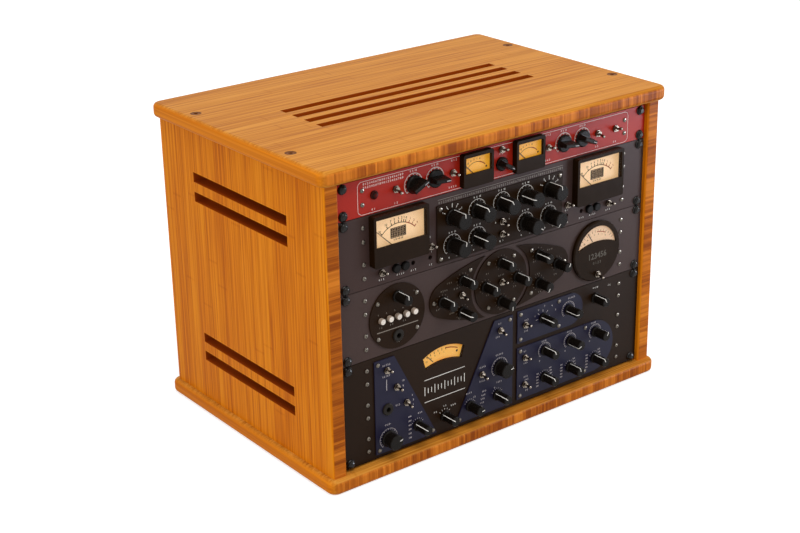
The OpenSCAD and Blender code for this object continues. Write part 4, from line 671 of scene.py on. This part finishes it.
paper_colour = dial_tones((0.82, 0.44, 0.1), (0.8, 0.56, 0.34), (0.82, 0.6, 0.36), (0.78, 0.42, 0.025))
lit_colour = dial_tones((0.72, 0.335, 0.025), (0.5, 0.29, 0.16), (0.83, 0.485, 0.215), (0.665, 0.25, 0.0))
above_dial = maths(tree, "LESS_THAN", dial_place["Y"], dial_front - needle_gap)
above_low_dial = maths(tree, "LESS_THAN", dial_place["Y"], low_dial_front - needle_gap)
in_voice_unit = maths(tree, "LESS_THAN", dial_place["Z"], unit_floor[0])
needle_mask = maths(tree, "MAXIMUM", above_dial, maths(tree, "MULTIPLY", above_low_dial, in_voice_unit))
dial_colour = blend(tree, needle_mask, paper_colour, (0.02, 0.012, 0.008, 1))
tree.links.new(dial_colour, shader.inputs["Base Color"])
# The emission is a painted glow that brightens the dials; no lamp lights them.
tree.links.new(blend(tree, needle_mask, lit_colour, (0, 0, 0, 1)), shader.inputs["Emission Color"])
shader.inputs["Emission Strength"].default_value = 0.75
shader.inputs["Roughness"].default_value = 0.6
dress(dial_paper, "meter_dials")
# The window's dark base colour darkens its edges: painted shade round the window.
window_glass = coat("meter_window", (0.08, 0.075, 0.07), rough=0.04, fleck=0.02, scale=40, shine=0.1)
window_glass.node_tree.nodes["Principled BSDF"].inputs["Alpha"].default_value = 0.1
dress(window_glass, "meter_glasses")
dress(coat("needle_black", (0.01, 0.008, 0.006), rough=0.4, fleck=0.2), "needle_left", "needle_right")

red_ink = coat("dial_red_ink", (0.5, 0.05, 0.015), rough=0.6, fleck=0.12, scale=3000, shine=0.05)
level_scale = (("20", -44), ("10", -27), ("7", -16), ("5", -8), ("3", 1), ("2", 8), ("1", 13), ("0", 18))
over_scale = (("1", 27), ("2", 36), ("3", 45))
for side_name, pivot in (("left", (-157.5, -7)), ("right", (157.5, -7))):
    marks, warning = Silkscreen(), Silkscreen()
    marks.arc(pivot, 33.5, -46, 18, 0.9)
    warning.arc(pivot, 33.5, 18, 46, 1.1)
    for ink, scale in ((marks, level_scale), (warning, over_scale)):
        ink.ticks(pivot, 33.5, 36.4, [turn for _, turn in scale], 1.1)
        ink.scale_figures(pivot, 38.9, scale, 4)
    marks.frame_line(pivot[0] - 10.8, 9.8, pivot[0] + 10.8, 21.6, r=0.6, width=0.9)
    for row in range(4):
        for k in range(9):
            x, y = pivot[0] - 9.2 + 2.3 * k, 11 + 2.65 * row
            marks.stroke([(x, y), (x, y + 1.5)], 2.05)
    marks.figures("0 20 40 60", pivot[0], 7.2, 3.2)
    marks.lay("dial_print_" + side_name, compressor_mid, dial_front - ink_lift, brown_ink)
    warning.lay("dial_warning_" + side_name, compressor_mid, dial_front - ink_lift, red_ink)

small_marks, small_warning = Silkscreen(), Silkscreen()
small_scale = [(text, -44 + 11.6 * k) for k, text in enumerate(("20", "10", "5", "3", "1", "0"))]
for x in (-41, 41):
    pivot = (x, -12)
    small_marks.arc(pivot, 19.5, -46, 15, 0.6)
    small_warning.arc(pivot, 19.5, 15, 44, 1.2)
    small_marks.scale_figures(pivot, 23.2, small_scale, 3.2)
    small_marks.dot(x + 15.5, -0.8, 1.3)
small_marks.lay("limiter_dial_print", limiter_mid, dial_front - ink_lift, brown_ink)
small_warning.lay("limiter_dial_warning", limiter_mid, dial_front - ink_lift, red_ink)

round_marks, round_warning, round_pivot = Silkscreen(), Silkscreen(), (160, -8)
round_scale = [(text, -44 + 12.5 * k) for k, text in enumerate(("20", "10", "7", "5", "3", "1", "0"))]
round_marks.ticks(round_pivot, 33.5, 36.5, range(-52, 53, 8), 0.5)
round_marks.scale_figures(round_pivot, 30.2, round_scale, 2.9)
round_warning.arc(round_pivot, 33.5, 2, 28, 1.0)
case_points = [v.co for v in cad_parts["meter_cases"].data.vertices]
round_case_front = min(p.y for p in case_points if unit_floor[0] < p.z < unit_floor[1])
dim_ink = coat("dim_screen_ink", (0.1, 0.086, 0.068), rough=0.5, fleck=0.12, scale=3000, shine=0.08)
case_print = Silkscreen()
case_print.figures("123456", 160, -6, 11)
case_print.figures("0 1 2 3", 160, -15.5, 5)
case_print.lay("strip_case_print", strip_mid, round_case_front - ink_lift, dim_ink)
round_marks.lay("strip_dial_print", strip_mid, dial_front - ink_lift, brown_ink)
round_warning.lay("strip_dial_warning", strip_mid, dial_front - ink_lift, red_ink)

arc_marks, arc_warning = Silkscreen(), Silkscreen()
arc_scale = [(text, -27 + 7.6 * k) for k, text in enumerate(("20", "10", "5", "3", "1"))]
arc_marks.ticks(arc_pivot, 55.5, 58.5, range(-30, 8, 6), 0.8)
arc_marks.scale_figures(arc_pivot, 52.5, arc_scale, 3)
arc_marks.dot(-66, 36.4, 1.6)
arc_warning.arc(arc_pivot, 57.5, 6, 25, 1.3)
arc_marks.lay("voice_dial_print", voice_mid, low_dial_front - ink_lift, brown_ink)
arc_warning.lay("voice_dial_warning", voice_mid, low_dial_front - ink_lift, red_ink)


# Knobs: bar knobs on the limiter and tall round ones on the other units, turned from black plastic and
# polished, with a white line let into the side and the end.
knob_black = coat("knob_black", (0.006, 0.0042, 0.003), rough=0.28, fleck=0.2, scale=500, shine=0.09)
bar_knobs = ("limiter_gain_knob_left", "limiter_reduction_knob_left", "limiter_link_knob",
             "limiter_reduction_knob_right", "limiter_gain_knob_right")
round_knobs = ("recovery_knob_left", "output_knob_left", "input_knob", "output_knob_right",
               "recovery_knob_right", "threshold_knob_left", "attack_knob_left", "attack_knob_right",
               "threshold_knob_right")
dress(knob_black, *bar_knobs, *round_knobs, "channel_knobs")


def line_insert(name, body, mid, spot, lift, outline, turn, ink=white_ink):
    """A line whose outline gives its distance from the knob's axis and its height, turned clockwise."""
    width, n = 0.85, len(outline)
    s, c = math.sin(math.radians(turn)), math.cos(math.radians(turn))
    points = [((spot[0] + x * c + radius * s) * mm, panel_front - (lift + out) * mm,
               mid + (spot[1] - x * s + radius * c) * mm)
              for x in (-width / 2, width / 2) for radius, out in outline]
    faces = [tuple(range(n)), tuple(range(2 * n - 1, n - 1, -1))]
    faces += [(k, n + k, n + (k + 1) % n, (k + 1) % n) for k in range(n)]
    return fitted(name, points, faces, ink, body)


def round_line(r, h):
    return [(r - 0.4, 3.6), (r - 0.02, 3.6), (r - 0.02, h - 0.88), (r - 0.86, h - 0.02), (r - 5, h - 0.02),
            (r - 5, h - 0.4), (r - 0.95, h - 0.4), (r - 0.4, h - 0.95)]


def bar_line(end):
    return [(4.5, 16.6), (4.5, 16.97), (end, 16.97), (end, 16.6)]


tall_line, short_line, slim_line = round_line(9.6, 25), round_line(9.6, 17), round_line(6.2, 22.5)
plate_thick = 1.6
for body, x, y, turn, end in zip(bar_knobs, (-132.5, -101, 0, 101, 132.5), (0, 0, -4.5, 0, 0),
                                 (64, 95, 120, 98, 115), (10.45, 10.45, 7.95, 10.45, 10.45)):
    line_insert("line_" + body, body, limiter_mid, (x, y), 0, bar_line(end), turn, pale_ink)
for body, spot, turn in zip(round_knobs, compressor_spots, (0, -26, -28, -74, -8, 10, -58, 120, -145)):
    line_insert("line_" + body, body, compressor_mid, spot, plate_thick, tall_line, turn)
for k, (spot, turn) in enumerate(zip(strip_spots, (0, -8, 0, -66, -52, 32, -150, -8, 0, -3, 180))):
    line_insert(f"strip_knob_line_{k + 1}", "rack", strip_mid, spot, plate_thick, slim_line, turn)
voice_spots = [(-176.8, -44), (-132.8, -41), (-89, -43.6), (-50, -42), (-5.6, -41), (-1.5, -4), (70.5, 42.5),
               (114.5, 42), (163, 44.3)] + [(74.5 + 44.5 * k, y) for y in (-3.25, -40.75) for k in range(3)]
voice_turns = (75, -52, -52, 85, -50, 75, -57, -88, -25, -18, -112, 30, -25, -14, -22)
wide_knobs, knobs_off_plates = (0, 5), (2, 8)
for k, (spot, turn) in enumerate(zip(voice_spots, voice_turns)):
    lift = 0 if k in knobs_off_plates else plate_thick
    outline = short_line if k in wide_knobs else slim_line
    line_insert(f"voice_knob_line_{k + 1}", "rack", voice_mid, spot, lift, outline, turn)


# Toggle switches: nickel plated bushes with a hexagon nut and a lever that tapers to its pivot. The
# compressor's levers move, each on a ball in its bush.
# The faces of bushes, nuts and levers turned away from the front take the darker sides colour: painted shade.
side_shaded_nickel = metal("side_shaded_nickel", (0.26, 0.22, 0.18), rough=0.2, sides=(0.16, 0.13, 0.105))
dress(side_shaded_nickel, "toggle_switches", "meter_toggle_left", "bypass_toggle_left", "link_toggle",
      "power_toggle", "bypass_toggle_right", "meter_toggle_right")


# Small fittings: white push buttons that slide in their holes, black trimmer caps under the compressor's
# meters and a red jewel over the limiter's pilot lamp.
# The sides of the buttons take the darker sides colour: painted shade.
button_white = coat("button_white", (0.84, 0.76, 0.68), rough=0.4, fleck=0.05, scale=300,
                    sides=(0.34, 0.26, 0.2))
dress(button_white, *(f"strip_button_{k}" for k in range(1, 6)))
dress(coat("cap_black", (0.006, 0.0045, 0.0035), rough=0.4, fleck=0.2, shine=0.06), "trimmer_caps")
# The sides of the jewel take the darker sides colour: painted shade.
jewel_red = coat("jewel_red", (0.085, 0.005, 0.004), rough=0.16, fleck=0.2, scale=200, shine=0.05,
                 sides=(0.02, 0.006, 0.004))
dress(jewel_red, "pilot_lamp")


# Fasteners: domed panel screws of plated steel, each with a hexagon recess, and black rack screws on plastic
# washers. Each recess is laid on the flat at the top of a screw head.
# The sides of the screw heads take the darker sides colour: painted shade.
dress(metal("plated_steel", (0.15, 0.13, 0.105), rough=0.3, sides=(0.1, 0.085, 0.07)), "panel_screws")
dress(coat("rack_screw_black", (0.008, 0.006, 0.0045), rough=0.22, fleck=0.2, shine=0.2), "rack_screws")
# The recesses are dark hexagons laid on the heads, not hollows: painted shade for the inside of each recess.
recess_dark = coat("recess_dark", (0.03, 0.026, 0.022), rough=0.6, fleck=0.2, scale=2000, shine=0.05)
head_height, head_width, near_enough = 1.6 * mm, 3 * mm, 0.02 * mm
head_tops = [front - head_height for front in (panel_front, plate_front)]
heads = []
for point in (v.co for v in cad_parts["panel_screws"].data.vertices):
    if min(abs(point.y - top) for top in head_tops) < near_enough:
        head = next((known for known in heads if (known[0] - point).length < head_width), None)
        if head is None:
            heads.append([point])
        else:
            head.append(point)
recess_points, recess_faces = [], []
sixths = [k * math.pi / 3 for k in range(6)]
for head in heads:
    x, z = ((min(p[k] for p in head) + max(p[k] for p in head)) / 2 for k in (0, 2))
    rim = len(recess_points)
    floor = rim + 6
    for r, out in ((0.98 * mm, 0.02 * mm), (0.62 * mm, 0.01 * mm)):
        recess_points += [(x + r * math.cos(t), head[0].y - out, z + r * math.sin(t)) for t in sixths]
    recess_faces += [(rim + k, rim + (k + 1) % 6, floor + (k + 1) % 6, floor + k) for k in range(6)]
    recess_faces.append(tuple(range(floor, floor + 6)))
fitted("screw_recesses", recess_points, recess_faces, recess_dark)

size = {"cad": [list(v) for v in cad_box], "visual": [list(v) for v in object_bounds()]}
